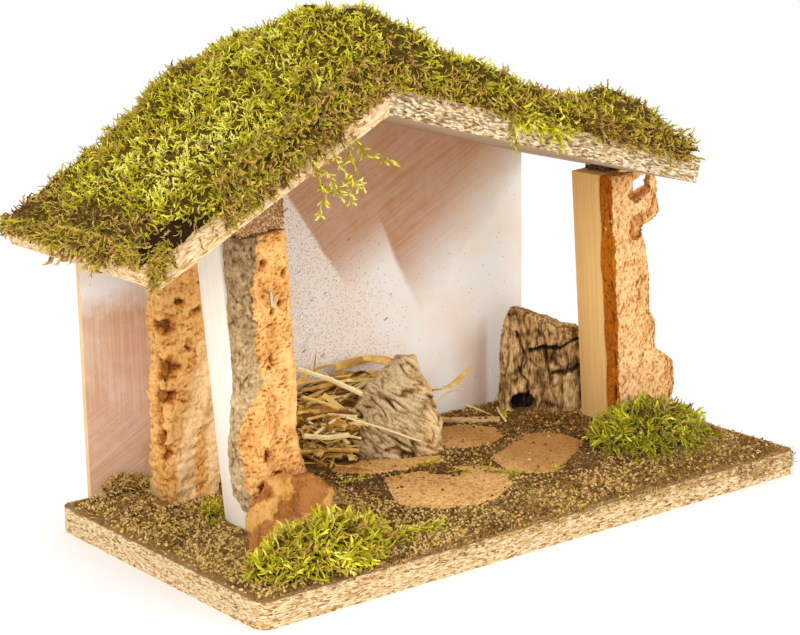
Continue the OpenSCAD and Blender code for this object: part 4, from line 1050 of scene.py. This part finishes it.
def wedge_relief(q):
    across, behind, up = on_turned(q, WEDGE_MIDDLE, WEDGE_TURN)
    bend = 1.5 * rough(q, 7, 2)
    slant = (0.7 * across - 0.7 * up, behind, 0.7 * across + 0.7 * up + bend)
    some = clip(0.3 + 1.6 * rough(q, 9, 14))
    fissure = grooves(slant, (18, 9, 3.8), 0.2, 4) * some
    fine = grooves(slant, (9, 5, 1.4), 0.22, 9) * (1 - 0.5 * some)
    arch = math.hypot((across + 3) / 8.0, up / 6.5) + 0.35 * rough(q, 5, 17)
    rim = max(0, 1 - abs(arch - 1) / 0.2) if behind < 0 and across > -7 and arch < 1.3 else 0
    inside = 1.0 if behind < 0 and arch < 0.95 else 0.0
    # Painted shade: darker at the foot on the left.
    foot = clip((10 - up) / 8) * clip((-6 - across) / 8)
    depth = 1.8 * fissure + 0.5 * fine + 1.2 * rough(slant, (9, 9, 5), 7) + 1.8 * rim + 1.2 * inside
    shade = (0.06 + 1.1 * fissure + 0.6 * fine + 0.7 * rim + 0.4 * foot
             + 0.2 * rough(q, 8, 21))
    right = clip((across - 6) / 8 + inside + 0.5 * rough(q, 8, 5))
    return depth, clip(shade), right


piece = carve("bark_wedge", "bark_piece_fissured", 0.6, wedge_relief, wedge_finish, "grey_bark")
for point in piece.data.vertices:
    across, behind, up = on_turned(point.co / MM, WEDGE_MIDDLE, WEDGE_TURN)
    right = 4.5 * max(0, 1 - ((up - 25) / 16) ** 2) * clip(across / 10)
    left = 4.5 * clip((24 - up) / 16) * clip((-across - 3) / 9)
    point.co.x += (right - left) * MM * math.cos(WEDGE_TURN)
    point.co.y += (right - left) * MM * math.sin(WEDGE_TURN)

# %% [markdown]
# ## Bark at the left post's foot, and the dark chips
# The lump at the foot is smooth inner bark in flat plates, some brown and some pale
# orange, with fine pores and one dark pit. Glued chips fill the room between each cork
# and the roof.
# %% Carve the foot bark and the chips
FOOT_PITS = [((-122.5, -33, 38.5), 5), ((-128, -41, 27), 3)]


def foot_relief(q):
    pores = pitted(q, (1.2, 1.2, 1.0), 0.3, 3)
    plate = rough(q, (13, 13, 10), 5) + 0.12 * rough(q, 3, 6)
    brown = clip(0.5 - 9 * (plate - 0.02))
    step = max(0, 1 - abs(plate - 0.02) / 0.06)
    pit = sum(max(0, 1 - math.dist(q, middle) / radius) for middle, radius in FOOT_PITS)
    depth = 0.4 * pores + 1.5 * rough(q, (12, 12, 9), 1) + 0.7 * brown + 2.5 * pit
    shade = 0.08 + 0.4 * pores + 0.25 * step + 1.6 * pit + 0.3 * rough(q, (6, 6, 5), 9)
    return depth, clip(shade), 1 - brown


def chip_relief(q):
    scale = crackle(q, (1.5, 1.5, 1.2), 2)
    return 1.0 * (1 - scale) + 0.5 * rough(q, 2), 0.1 + 0.7 * (1 - scale), 0.0


carve("left_post_foot_bark", "foot_bark_lump", 0.6, foot_relief, inner_finish, "smooth_bark")
for side, finish in chip_finishes.items():
    carve(f"{side}_post_packing", f"{side}_bark_chips", 0.5, chip_relief, finish, "bark_chips")

# %% [markdown]
# ## Planed battens
# The posts are planed softwood with slightly broken edges. The left one is almost white
# and the right one golden. The grain runs up each post, so the pattern is stretched
# along its lean: growth lines are about 1.5 mm apart and very faint.
# %% Finish and bevel the battens
def softwood(name, light, mid, dark, lean):
    """Planed softwood whose grain runs up a post that leans by an angle about Y."""
    finish, tree, shader, place = new_finish(name, 0.6, 0.3)
    upright = add(tree, "Mapping", {"Vector": place, "Rotation": (0, lean, 0)})
    long_way = add(tree, "Mapping", {"Vector": upright, "Scale": (420, 420, 14)})
    growth = add(tree, "TexNoise", {"Vector": long_way, "Scale": 1.0, "Detail": 3.0,
                                    "Distortion": 0.4})
    fibre = add(tree, "TexNoise", {"Vector": long_way, "Scale": 5.0, "Detail": 3.0})
    blend = add(tree, "Mix", {0: 0.35, 2: growth, 3: fibre})
    tone = add(tree, "ValToRGB", {"Fac": blend}, stops=[(0.25, dark), (0.75, light), (0.5, mid)])
    coat(tree, shader, tone, fibre, 0.25, 0.15)
    return finish


def bevel(node_name, piece_name, width, finish, slot):
    """A copy of a flat-faced solid with its sharp edges broken, by a width in mm."""
    piece = copy_of(node_name, piece_name)
    modify(piece, "BEVEL", width=width * MM, segments=2, limit_method="ANGLE",
           angle_limit=math.radians(40))
    bpy.ops.object.shade_smooth_by_angle(angle=math.radians(35))
    return dress(piece, finish, slot, node_name)


pale_finish = softwood("planed_pale_softwood", "#FFFAF2", "#FFF5E4", "#F6E5C8", LEFT_LEAN)
golden_finish = softwood("planed_golden_softwood", "#F9D48E", "#F3C77E", "#E7B768", RIGHT_LEAN)
raw_finish = softwood("raw_split_wood", "#E6CB96", "#D2AE72", "#B98E50", math.radians(90))
bevel("left_post", "left_batten", 0.5, pale_finish, "pale_batten")
bevel("right_post", "right_batten", 0.5, golden_finish, "golden_batten")
bevel("floor_strip", "floor_strip_wood", 0.4, raw_finish, "pale_wood")
bevel("rear_cork_block", "rear_block_wood", 0.4, raw_finish, "pale_wood")

# %% [markdown]
# ## The painted back wall, its patterns
# The wall is hardboard under a thin warm pink-brown paint that was brushed on, upright
# at the left and slanting at the right, with white sprayed over it from below. Every
# pattern is built from the place across the wall and up it, made wavy by one noise. A
# mask multiplies ramps, each of which goes from 0 at one place to 1 at another.
# %% Patterns of the painted wall
wall_finish, tree, shader, place = new_finish("brushed_and_sprayed_paint", 0.75, 0.25)
axes = add(tree, "SeparateXYZ", {0: place})
x, z = axes.outputs[0], axes.outputs[2]
wobble = add(tree, "TexNoise", {"Vector": place, "Scale": 70.0, "Detail": 5.0, "Roughness": 0.65})
STROKE_TURN = math.radians(27)
ALONG, OVER = math.cos(STROKE_TURN), math.sin(STROKE_TURN)


def blend(x_share, z_share, offset=0.0, wave=0.0):
    """A sum of the places across and up the wall, made wavy by noise, in metres."""
    total = offset - wave / 2
    for value, share in ((x, x_share), (z, z_share), (wobble, wave)):
        total = add(tree, "Math", {0: value, 1: share, 2: total}, operation="MULTIPLY_ADD")
    return total


def mask(*factors):
    """A product; a factor is a mask, a number, or a value with where it is 0 and where 1."""
    total = None
    for factor in factors:
        if isinstance(factor, tuple):
            value, zero, one = factor
            factor = add(tree, "MapRange", {"Value": value, "From Min": zero, "From Max": one})
        total = factor if total is None else add(tree, "Math", {0: total, 1: factor},
                                                 operation="MULTIPLY")
    return total


def brushed(turn, length, width=800):
    """Brush marks along a direction in the wall, as light and dark streaks."""
    turned = add(tree, "Mapping", {"Vector": place, "Rotation": (0, turn, 0)})
    thin = add(tree, "Mapping", {"Vector": turned, "Scale": (length, 300, width)})
    return add(tree, "TexNoise", {"Vector": thin, "Scale": 1.0, "Detail": 3.0, "Roughness": 0.55})


def dots(scale, share, size, stretch=1.0):
    """Scattered dots, maybe stretched along the strokes, and a random number for each."""
    turned = add(tree, "Mapping", {"Vector": place, "Rotation": (0, STROKE_TURN, 0)})
    drawn = add(tree, "Mapping", {"Vector": turned, "Scale": (1 / stretch, 1, 1)})
    grains = add(tree, "TexVoronoi", {"Vector": drawn, "Scale": scale})
    kinds = add(tree, "SeparateColor", {"Color": grains.outputs["Color"]})
    near, chosen = [add(tree, "Math", {0: value, 1: limit}, operation="LESS_THAN")
                    for value, limit in ((grains, size), (kinds, share))]
    return mask(near, chosen), kinds.outputs[1]


slanting = brushed(STROKE_TURN, 24)
upright = brushed(math.radians(-90), 18, 900)
print("wall patterns:", len(tree.nodes), "shader nodes")

# %% [markdown]
# ## The painted back wall, where the paint shows
# The slanting strokes begin at a leaning line and fade out downwards. At the right more
# of them reach lower, and a painted shadow, laid on as paint, lies low at the right end.
# On the left part of the wall the paint covers the lower half. It is thinner along the
# light brush marks.
# %% Masks of the painted wall
along = blend(ALONG, OVER, 0, 0.004)
over = blend(-OVER, ALONG, 0, 0.006)
lean_end = blend(ALONG - 0.13 * OVER, OVER + 0.13 * ALONG, -0.0555, 0.005)
upper = mask((over, 0.074, 0.1), (lean_end, -0.0006, 0.0012))
fading = blend(-OVER - 0.3 * ALONG, ALONG - 0.3 * OVER, 0.3 * 0.078, 0.02)
lower = mask((fading, 0.036, 0.074), (along, 0.077, 0.0795))
strokes = add(tree, "Math", {0: upper, 1: lower}, operation="MAXIMUM")
on_left = mask((x, -0.055, -0.06))
left_paint = mask((blend(0, 1, 0, 0.02), 0.112, 0.096), 0.85)
strokes = add(tree, "Mix", {0: on_left, 2: strokes, 3: left_paint})
low_left = mask((blend(0.2, 1, 0, 0.01), 0.03, 0.02))
left_marks = add(tree, "Mix", {0: low_left, 2: upright, 3: slanting})
marks = add(tree, "Mix", {0: on_left, 2: slanting, 3: left_marks})
# Painted shadow: a soft brown patch with a sharp right edge, low at the right end.
stain_and_shadow = mask((x, 0.070, 0.092), (x, 0.0985, 0.0955), (z, 0.064, 0.046))
strokes = add(tree, "Math", {0: strokes, 1: mask(stain_and_shadow, 0.6)}, operation="MAXIMUM")
streaks = add(tree, "Mix", {0: 0.5, 2: marks, 3: wobble})
wear_and_shade = add(tree, "MapRange", {"Value": streaks, "From Min": 0.35, "From Max": 0.65,
                              "To Min": 1.02, "To Max": 0.82})
cover = add(tree, "Math", {0: strokes, 1: wear_and_shade}, operation="MULTIPLY", use_clamp=True)
print("wall masks:", len(tree.nodes), "shader nodes")

# %% [markdown]
# ## The painted back wall, its colours
# The paint is browner inside the stable than on the left part, partly as painted shade
# under the roof and painted light on the left part. The white is a little pink in the
# middle and a warmer, darker cream at the top, painted shade under the roof. Its lower
# left is peppered with grey specks and some brown dashes. The left rim and the back,
# which the photograph doesn't show, are bare board.
# %% Colours of the painted wall
# Painted shade and light: a browner copy of the paint inside the stable, a lighter one on the left
# part.
inside = add(tree, "ValToRGB", {"Fac": streaks},
             stops=[(0.32, "#C08A5E"), (0.62, "#CC9C76"), (0.4, "#C8956C")])
outside = add(tree, "ValToRGB", {"Fac": streaks},
              stops=[(0.32, "#CF9567"), (0.68, "#EFC7A0"), (0.5, "#E0AD82")])
paint = add(tree, "Mix", {0: on_left, 6: inside, 7: outside}, data_type="RGBA")
cloudy = add(tree, "TexNoise", {"Vector": place, "Scale": 34.0, "Detail": 5.0})
white = add(tree, "ValToRGB", {"Fac": cloudy}, stops=[(0.36, "#FFF4E8"), (0.62, "#FFFFFC")])
inner = add(tree, "Math", {0: mask((x, 0.07, -0.02)), 1: on_left}, operation="SUBTRACT")
sprayed = add(tree, "Mix", {0: mask(inner, 0.5), 6: white, 7: linear("#F3DFD0")},
              data_type="RGBA")
# Painted shade: a warmer, darker cream at the top of the wall, under the roof.
sprayed = add(tree, "Mix", {0: mask((z, 0.13, 0.19), 0.75), 6: sprayed, 7: linear("#F4DEC4")},
              data_type="RGBA")
body = add(tree, "Mix", {0: cover, 6: sprayed, 7: paint}, data_type="RGBA")

peppered = mask((blend(ALONG, 0.3, 0, 0.05), 0.06, 0.0), (x, -0.1, -0.06))
often = add(tree, "Math", {0: mask(peppered, 0.55), 1: 0.006}, operation="ADD")
fine, shade = dots(1300.0, often, 0.4)
tones = add(tree, "ValToRGB", {"Fac": shade},
            stops=[(0.2, "#55483A"), (0.9, "#C2B2A0"), (0.5, "#93857A")])
body = add(tree, "Mix", {0: mask(fine, 0.85), 6: body, 7: tones}, data_type="RGBA")
seldom = add(tree, "Math", {0: mask(peppered, 0.07), 1: 0.004}, operation="ADD")
dash, shade = dots(420.0, seldom, 0.2, 3.5)
body = add(tree, "Mix", {0: mask(dash, 0.8), 6: body, 7: linear("#7A5C44")}, data_type="RGBA")
facing = add(tree, "SeparateXYZ", {0: add(tree, "TexCoord").outputs["Normal"]})
left_rim = add(tree, "Math", {0: facing, 1: -0.5}, operation="LESS_THAN")
rear = add(tree, "Math", {0: facing.outputs[1], 1: 0.5}, operation="GREATER_THAN")
bare = add(tree, "Math", {0: left_rim, 1: rear}, operation="MAXIMUM")
board = add(tree, "ValToRGB", {"Fac": wobble}, stops=[(0.3, "#DDB57E"), (0.7, "#EFCB98")])
final = add(tree, "Mix", {0: bare, 6: body, 7: board}, data_type="RGBA")
coat(tree, shader, final, marks, 0.35, 0.25)
put_on(wall_finish, "back_wall")

# %% [markdown]
# ## Cork flagstones
# Four thin pieces of sheet cork. Sheet cork is pressed granules about 1 mm across, so
# it looks even, with fine dark specks and softly worn patches. The stones at the right
# are browner, partly their own tone and partly painted shade.
# %% Finish: cork flagstones
tile_finish, tree, shader, place = new_finish("pressed_sheet_cork", 0.85, 0.2)
granule = add(tree, "TexVoronoi", {"Vector": place, "Scale": 900.0})
split = add(tree, "SeparateColor", {"Color": granule.outputs["Color"]})
stain_and_shadow = add(tree, "TexNoise", {"Vector": place, "Scale": 55.0, "Detail": 5.0})
level_of = add(tree, "Mix", {0: 0.55, 2: split, 3: stain_and_shadow})
tone = add(tree, "ValToRGB", {"Fac": level_of},
           stops=[(0.2, "#A06E32"), (0.8, "#F6CA88"), (0.36, "#D09C58"), (0.55, "#E4B570")])
speck = add(tree, "TexNoise", {"Vector": place, "Scale": 620.0, "Detail": 2.0})
spot = add(tree, "ValToRGB", {"Fac": speck}, stops=[(0.3, "#7C5020"), (0.36, "#FFFFFF")])
both = add(tree, "Mix", {0: 0.7, 6: tone, 7: spot}, data_type="RGBA", blend_type="MULTIPLY")
across = add(tree, "SeparateXYZ", {0: place})
# Painted shade: the stones turn browner towards the right, partly their own tone.
wear_and_shade = add(tree, "MapRange", {"Value": across, "From Min": 0.02, "From Max": 0.05,
                              "To Min": 0.0, "To Max": 0.6})
final = add(tree, "Mix", {0: wear_and_shade, 6: both, 7: linear("#A06A2A")}, data_type="RGBA")
coat(tree, shader, final, stain_and_shadow, 0.5, 0.5)
for stone in ("flagstone_front", "flagstone_right", "flagstone_left", "flagstone_back"):
    bevel(stone, stone + "_cork", 0.5, tile_finish, "cork_tile")

# %% [markdown]
# ## Crumbs on the base
# The base is strewn with crumbled dry moss in glue. Under the loose bits lies a brown
# layer. The bits are short strands that lie flat, curled fronds, and chips. A chip is a
# small cube with its corners drawn in unevenly.
# %% Finish the crumbs and model a chip
def speckled(name, stops, size):
    """A matt finish of fine grit: a noise about this fine goes through the colour stops."""
    finish, tree, shader, place = new_finish(name, 0.9, 0.1)
    grit = add(tree, "TexNoise", {"Vector": place, "Scale": 1000 / size, "Detail": 4.0,
                                  "Roughness": 0.7})
    patch = add(tree, "TexNoise", {"Vector": place, "Scale": 45.0, "Detail": 3.0})
    level_of = add(tree, "Mix", {0: 0.35, 2: grit, 3: patch})
    tone = add(tree, "ValToRGB", {"Fac": level_of}, stops=stops)
    coat(tree, shader, tone, grit, 1.0, 0.8)
    return finish


crumb_finish = speckled("glued_moss_crumbs", [(0.36, "#44300E"), (0.64, "#D2AE70"),
                                              (0.45, "#74562A"), (0.54, "#A07E46")], 1.1)
dark_finish = speckled("dark_peat_crumbs", [(0.35, "#35240F"), (0.68, "#A5814E"),
                                            (0.5, "#664724")], 1.0)
put_on(crumb_finish, "ground_litter")

bpy.ops.mesh.primitive_cube_add(size=0.72, location=(0, 0, 0.25))
crumb = bpy.context.object
crumb.name = "crumb"
bpy.ops.object.transform_apply(location=True)
for k, point in enumerate(crumb.data.vertices):
    point.co *= 0.75 + 0.4 * ((k * 7) % 5) / 4
print("chip faces:", len(crumb.data.polygons))

# %% [markdown]
# ## Crumbs, where they lie
# A ray is sent down at each random place to find what carries the bit there. Loose bits
# lie everywhere, but seldom on the stones, and dark peat chips fill the joints between
# the stones. Crumbs also bury a part of two stones: the one in front along its left
# edge and its far end, and the one at the right along one side. These edges are given as
# lines across the base, in mm.
# %% Rays and chances
trees = {}
for name, node in nodes.items():
    trees[name] = BVHTree.FromPolygons([v.co for v in node.data.vertices],
                                       [tuple(p.vertices) for p in node.data.polygons])
GROUND = ["base_board", "ground_litter", "flagstone_front", "flagstone_right",
          "flagstone_left", "flagstone_back", "floor_strip"]
STANDING = ["left_post", "left_post_cork", "right_post", "right_post_cork", "rear_cork",
            "rear_cork_block", "bark_block", "back_wall", "straw_bed", "bark_wedge",
            "left_post_foot_bark"]
RAY_START = 40 * MM
PAVED_X, PAVED_Y = (-52, 92), (-46, 64)
LITTERED_X, LITTERED_Y = 155, 77


def ground_under(x, y):
    """Name and height of what a crumb would lie on there, or None under a piece."""
    start = Vector((x, y, RAY_START))
    if any(trees[name].ray_cast(start, Vector((0, 0, -1)), RAY_START)[0] for name in STANDING):
        return None
    found = [(trees[name].ray_cast(start, Vector((0, 0, -1)), RAY_START)[0], name)
             for name in GROUND]
    found = [(hit.z, name) for hit, name in found if hit]
    return max(found) if found else None


def strewn(count, seed, likely, box=(-158, 158, -80.5, 78)):
    """Random places on the base, kept by the chance that likely(x, y, what lies there) gives."""
    chance = np.random.default_rng(seed)
    spots = []
    while len(spots) < count:
        x, y = chance.uniform(*box[:2]) * MM, chance.uniform(*box[2:]) * MM
        kept = chance.random()
        found = ground_under(x, y)
        if found and kept < likely(x / MM, y / MM, found[1]):
            spots.append((x, y, found[0]))
    return np.array(spots), chance


def buried(x, y, below):
    """How deep under crumbs a stone is there, from 0 to 1: only parts of two stones are."""
    if below == "flagstone_front":
        far_rim = 0.6 * max(0, 1 - math.hypot((x - 3) / 9, (y - 8) / 18))
        return clip(max((-31.5 + 0.56 * y - x) / 4, far_rim))
    if below == "flagstone_right":
        return clip((0.57 * (x - 71) - 0.82 * (y + 18)) / 4)
    return 0


def joint(x, y, below):
    """Dark crumbs: thick in the joints round the stones, on one stone's end, thin elsewhere."""
    if below.startswith("flagstone"):
        return max(buried(x, y, below), 0.006)
    if below == "floor_strip":
        return 0.03
    return 1.0 if PAVED_X[0] < x < PAVED_X[1] and PAVED_Y[0] < y < PAVED_Y[1] else 0.2


def anywhere(x, y, below):
    """Loose bits: few on the stones and near the rims, and many everywhere else."""
    if below.startswith("flagstone") or below == "floor_strip":
        return max(buried(x, y, below), 0.02)
    inner = abs(x) < LITTERED_X and abs(y) < LITTERED_Y
    return 1.0 if below == "ground_litter" or inner else 0.25


print("under the middle lies:", ground_under(0, 0))

# %% [markdown]
# ## Crumbs, strewn
# The bits lie the flatter, the longer they are. They are painted darker at the right and
# to the back and lighter at the left, as shade and light, and a few are green. Like the
# moss, each bit is darker at its root, partly painted shade.
# %% Strew the crumbs
GREEN_SHARE, GREEN_TINT = 0.03, 0.62


def scatter(name, template, count, seed, likely, lengths, widths, tone, flat, finish, **more):
    """Strews copies of a template that lie the flatter, the smaller flat is.

    Their curls lie flat too, and about one in thirty is green."""
    spots, chance = strewn(count, seed, likely, **more)
    aims = chance.normal(size=(count, 3)) * (1, 1, flat)
    aims[:, 2] = np.abs(aims[:, 2]) + 0.05
    light = tone + 0.35 * field(spots, 25 * MM, seed) + chance.normal(0, 0.16, count)
    # Painted light and shade: lighter towards the left, darker towards the right and the back.
    light -= 0.08 * np.clip(spots[:, 1] / 0.05, -1, 1) + 0.15 * np.clip(spots[:, 0] / 0.1, -1, 1)
    light = np.where(chance.random(count) < GREEN_SHARE, GREEN_TINT, np.clip(light, 0, 0.33))
    spins = chance.choice([0, math.pi], count) + chance.normal(0, 0.7, count)
    piece = plant(name, template, spots + (0, 0, 0.1 * MM), aims,
                  chance.uniform(*lengths, count) * MM, light, spins,
                  widths=chance.uniform(*widths, count) * MM)
    return dress(piece, finish, "dry_crumbs")


scatter("moss_bits", strand, 3600, 301, anywhere, (2, 4), (2, 4), 0.22, 0.2, dry_finish)
scatter("moss_curls", curled, 1300, 302, anywhere, (2, 3.5), (2, 3), 0.22, 0.3, dry_finish)
scatter("moss_chips", crumb, 9500, 305, anywhere, (0.5, 1.4), (0.8, 2.2), 0.17, 0.8, dry_finish)
scatter("stone_crumbs", crumb, 1500, 304, buried, (0.6, 1.5), (0.8, 2.0), 0.1, 0.8, dark_finish,
        box=(-55, 110, -45, 40))
scatter("dark_crumbs", crumb, 5600, 303, joint, (0.5, 1.4), (0.6, 1.9), 0.1, 0.8, dark_finish,
        box=(-150, 150, -78, 76))

# %% [markdown]
# ## Crumbs on the rims
# Some strands hang over the base's rims, most at its right end. Each row gives a rim's
# ends, the heights, the count, the way they point and how light they are.
# %% Plant the rims
RIMS = [((60, -81), (158, -80), (9, 12.5), 900, (0.2, -0.8, -0.6), 0.2),
        ((118, -81.5), (159, -80), (4, 12), 700, (0.2, -0.6, -0.9), 0.18),
        ((-110, -80), (60, -81), (9.5, 12.5), 1100, (0, -0.8, -0.4), 0.24),
        ((159, -78), (161, 76), (9, 12.5), 260, (0.7, 0, -0.4), 0.25),
        ((-157, 40), (-156, 78), (11, 13), 60, (-0.5, 0, 0.2), 0.2)]
chance = np.random.default_rng(311)
parts = []
for start, end, heights, count, aim, tone in RIMS:
    share = chance.random((count, 1))
    roots = np.hstack([np.array(start) + share * (np.array(end) - start),
                       chance.uniform(*heights, (count, 1))])
    roots[:, :2] += chance.normal(0, 0.5, (count, 2))
    parts.append(plant(f"rim_{len(parts)}", strand, roots * MM,
                       np.array(aim) + chance.normal(0, 0.6, (count, 3)),
                       chance.uniform(2, 4.5, count) * MM,
                       np.clip(tone + chance.normal(0, 0.12, count), 0, 0.9),
                       chance.uniform(0, 6.28, count)))
dress(merge("moss_rim", parts), dry_finish, "dry_crumbs")

# %% [markdown]
# ## Straw
# Straw is a hollow golden stalk, 1 to 3 mm thick, with flat papery leaves and fine wisps
# among it. The stalk's template is a six-sided tube whose ends are inset and sunk, so it
# looks hollow. The leaf's is a thin strip that widens, tapers and twists.
# %% Model and finish the straw
bpy.ops.mesh.primitive_cylinder_add(vertices=6, radius=0.5, depth=1, location=(0, 0, 0.5))
stalk = bpy.context.object
stalk.name = "stalk"
cut_across(stalk, (0.5,))
bpy.ops.object.transform_apply(location=True)
for polygon in stalk.data.polygons:
    polygon.select = abs(polygon.normal.z) > 0.9
bpy.ops.object.mode_set(mode="EDIT")
bpy.ops.mesh.inset(thickness=0.12)
bpy.ops.mesh.extrude_region_shrink_fatten(TRANSFORM_OT_shrink_fatten={"value": -0.06})
bpy.ops.object.mode_set(mode="OBJECT")
for point in stalk.data.vertices:
    point.co.y += 0.5 * math.sin(math.pi * point.co.z)

bpy.ops.mesh.primitive_cube_add(size=1, location=(0, 0, 0.5))
husk = bpy.context.object
husk.name = "husk"
bpy.ops.object.transform_apply(location=True)
cut_across(husk, (0.2, 0.4, 0.6, 0.8))
for point in husk.data.vertices:
    up = point.co.z
    half = point.co.x * (0.55 + 1.1 * up - 1.5 * up ** 2)
    thin = point.co.y * 0.1 + 0.6 * math.sin(math.pi * up)
    twist = 1.1 * up
    point.co.x = half * math.cos(twist) - thin * math.sin(twist)
    point.co.y = half * math.sin(twist) + thin * math.cos(twist)

straw_finish, tree, shader, place = new_finish("dry_straw", 0.5, 0.4)
tint = add(tree, "Attribute", attribute_name="tint")
fibre = add(tree, "TexNoise", {"Vector": place, "Scale": 300.0, "Detail": 3.0})
total = varied(tree, tint.outputs["Fac"], fibre, -0.12, 0.12)
# Low tints give dark brown straws, partly old straw's own colour and partly painted shade in the
# gaps of the heap.
tone = add(tree, "ValToRGB", {"Fac": total},
           stops=[(0.0, "#5A3206"), (1.0, "#FFEDB4"), (0.3, "#B27C28"), (0.6, "#F0C464")])
coat(tree, shader, tone, fibre, 0.3, 0.2)
print("straw faces:", len(stalk.data.polygons), len(husk.data.polygons))

# %% [markdown]
# ## Straw, heaped
# Most stalks lie along the wall in two heaps. A heap is given by its reach across, back
# and up, in mm, and by how much its stalks turn and tilt, in degrees. A few are placed
# as the photograph has them, by both of their ends, their width and their tint.
# %% Lay the straw
WALL_FRONT, STRAW_TOP = 77.5, 62
HEAPS = [((-46, 29), (60, 75), (13.5, 50), 12, 12), ((-45, -15), (40, 60), (13.5, 40), 50, 16)]
KINDS = [("straw_stalks", stalk, (55, 45), (1.1, 2.3), (16, 42)),
         ("straw_husks", husk, (80, 60), (2.4, 5.0), (14, 34)),
         ("straw_wisps", husk, (150, 120), (0.7, 1.6), (9, 26))]
PLACED = {
    "straw_stalks": [
        ((-48, 48, 64), (-11, 47, 45), 2.6, 0.95), ((-44, 50, 49), (-18, 49, 36), 1.8, 0.6),
        ((-51, 40, 33), (-26, 38, 29), 2.8, 0.85), ((-52, 44, 24), (-20, 38, 20), 2.2, 0.4),
        ((-38, 33, 17), (-18, 22, 13), 1.6, 0.35), ((-35, 27, 42), (10, 27, 21), 1.0, 0.95),
        ((-88, -66, 14), (-75, -67, 14), 2.4, 0.1), ((93, 66, 14), (78, 42, 15), 1.3, 0.9)],
    "straw_husks": [
        ((-33, 70, 49), (-9, 70, 55), 4.5, 0.6), ((-23, 60, 55), (-1, 57, 42), 4.5, 0.8),
        ((44, 60, 34), (69, 59, 42), 6.0, 0.55), ((43, 57, 27), (63, 57, 31), 4.5, 0.7),
        ((-8, 72, 53), (30, 72, 50), 6.0, 0.5), ((8, 70, 55), (34, 67, 46), 5.0, 0.55),
        ((-30, 52, 47), (-10, 46, 31), 4.0, 0.75)],
    "straw_wisps": [
        ((-26, 66, 52), (-24, 65, 66), 0.8, 0.3), ((-34, 48, 40), (-26, 44, 54), 0.8, 0.6),
        ((46, 56, 20), (60, 50, 14), 1.0, 0.5), ((66, 62, 22), (84, 58, 13), 0.9, 0.6)],
}
chance = np.random.default_rng(401)
for name, template, counts, widths, reaches in KINDS:
    ends = [(np.array(a, float), np.array(b, float), w, t) for a, b, w, t in PLACED[name]]
    for (across, deep, height, turn, tilt), count in zip(HEAPS, counts):
        for k in range(count):
            reach = min(chance.uniform(*reaches), across[1] - across[0] - 2)
            angle, lift = (math.radians(chance.normal(0, v)) for v in (turn, tilt))
            half = np.array([math.cos(angle) * math.cos(lift), math.sin(angle) * math.cos(lift),
                             math.sin(lift)]) * reach / 2
            reach_x, reach_y, reach_z = np.abs(half)
            x = chance.uniform(across[0] + reach_x, across[1] - reach_x)
            centre, span = sum(across) / 2, across[1] - across[0]
            crown = height[1] - 32 * ((x - centre) / span) ** 2
            z = height[0] + reach_z + chance.random() ** 0.8 * (crown - height[0] - 2 * reach_z)
            y = chance.uniform(deep[0] + reach_y * 0.7, deep[1] - reach_y * 0.7)
            middle = np.array([x, y, z])
            half *= chance.choice([-1, 1])
            if y + reach_y < WALL_FRONT and z + reach_z < STRAW_TOP:
                ends.append((middle - half, middle + half, chance.uniform(*widths),
                             0.95 * chance.random()))
    first, last = (np.array([row[k] for row in ends]) * MM for k in (0, 1))
    thick, tints = (np.array([row[k] for row in ends]) for k in (2, 3))
    straw = plant(name, template, first, last - first, np.linalg.norm(last - first, axis=1), tints,
                  chance.uniform(0, 6.28, len(ends)), widths=thick * MM)
    dress(straw, straw_finish, "straw", "straw_bed")

# %% [markdown]
# ## Nails and the staple
# Bright steel wire: a metal shader, a little worn, with fine drawn lines.
# %% Finish: steel
steel_finish, tree, shader, place = new_finish("bright_steel_wire", 0.3, 0.5)
shader.inputs["Metallic"].default_value = 1.0
drawn = add(tree, "TexNoise", {"Vector": place, "Scale": 1500.0, "Detail": 2.0})
tone = add(tree, "ValToRGB", {"Fac": drawn}, stops=[(0.3, "#B9B6AE"), (0.7, "#E2E0DA")])
coat(tree, shader, tone)
put_on(steel_finish, "base_nails", "roof_nails", "cork_staple")

# %% [markdown]
# ## The end
# The templates have done their work and are removed.
# %% Remove the templates and finish
for template in (feathery, curled, strand, crumb, stalk, husk):
    bpy.data.objects.remove(template)
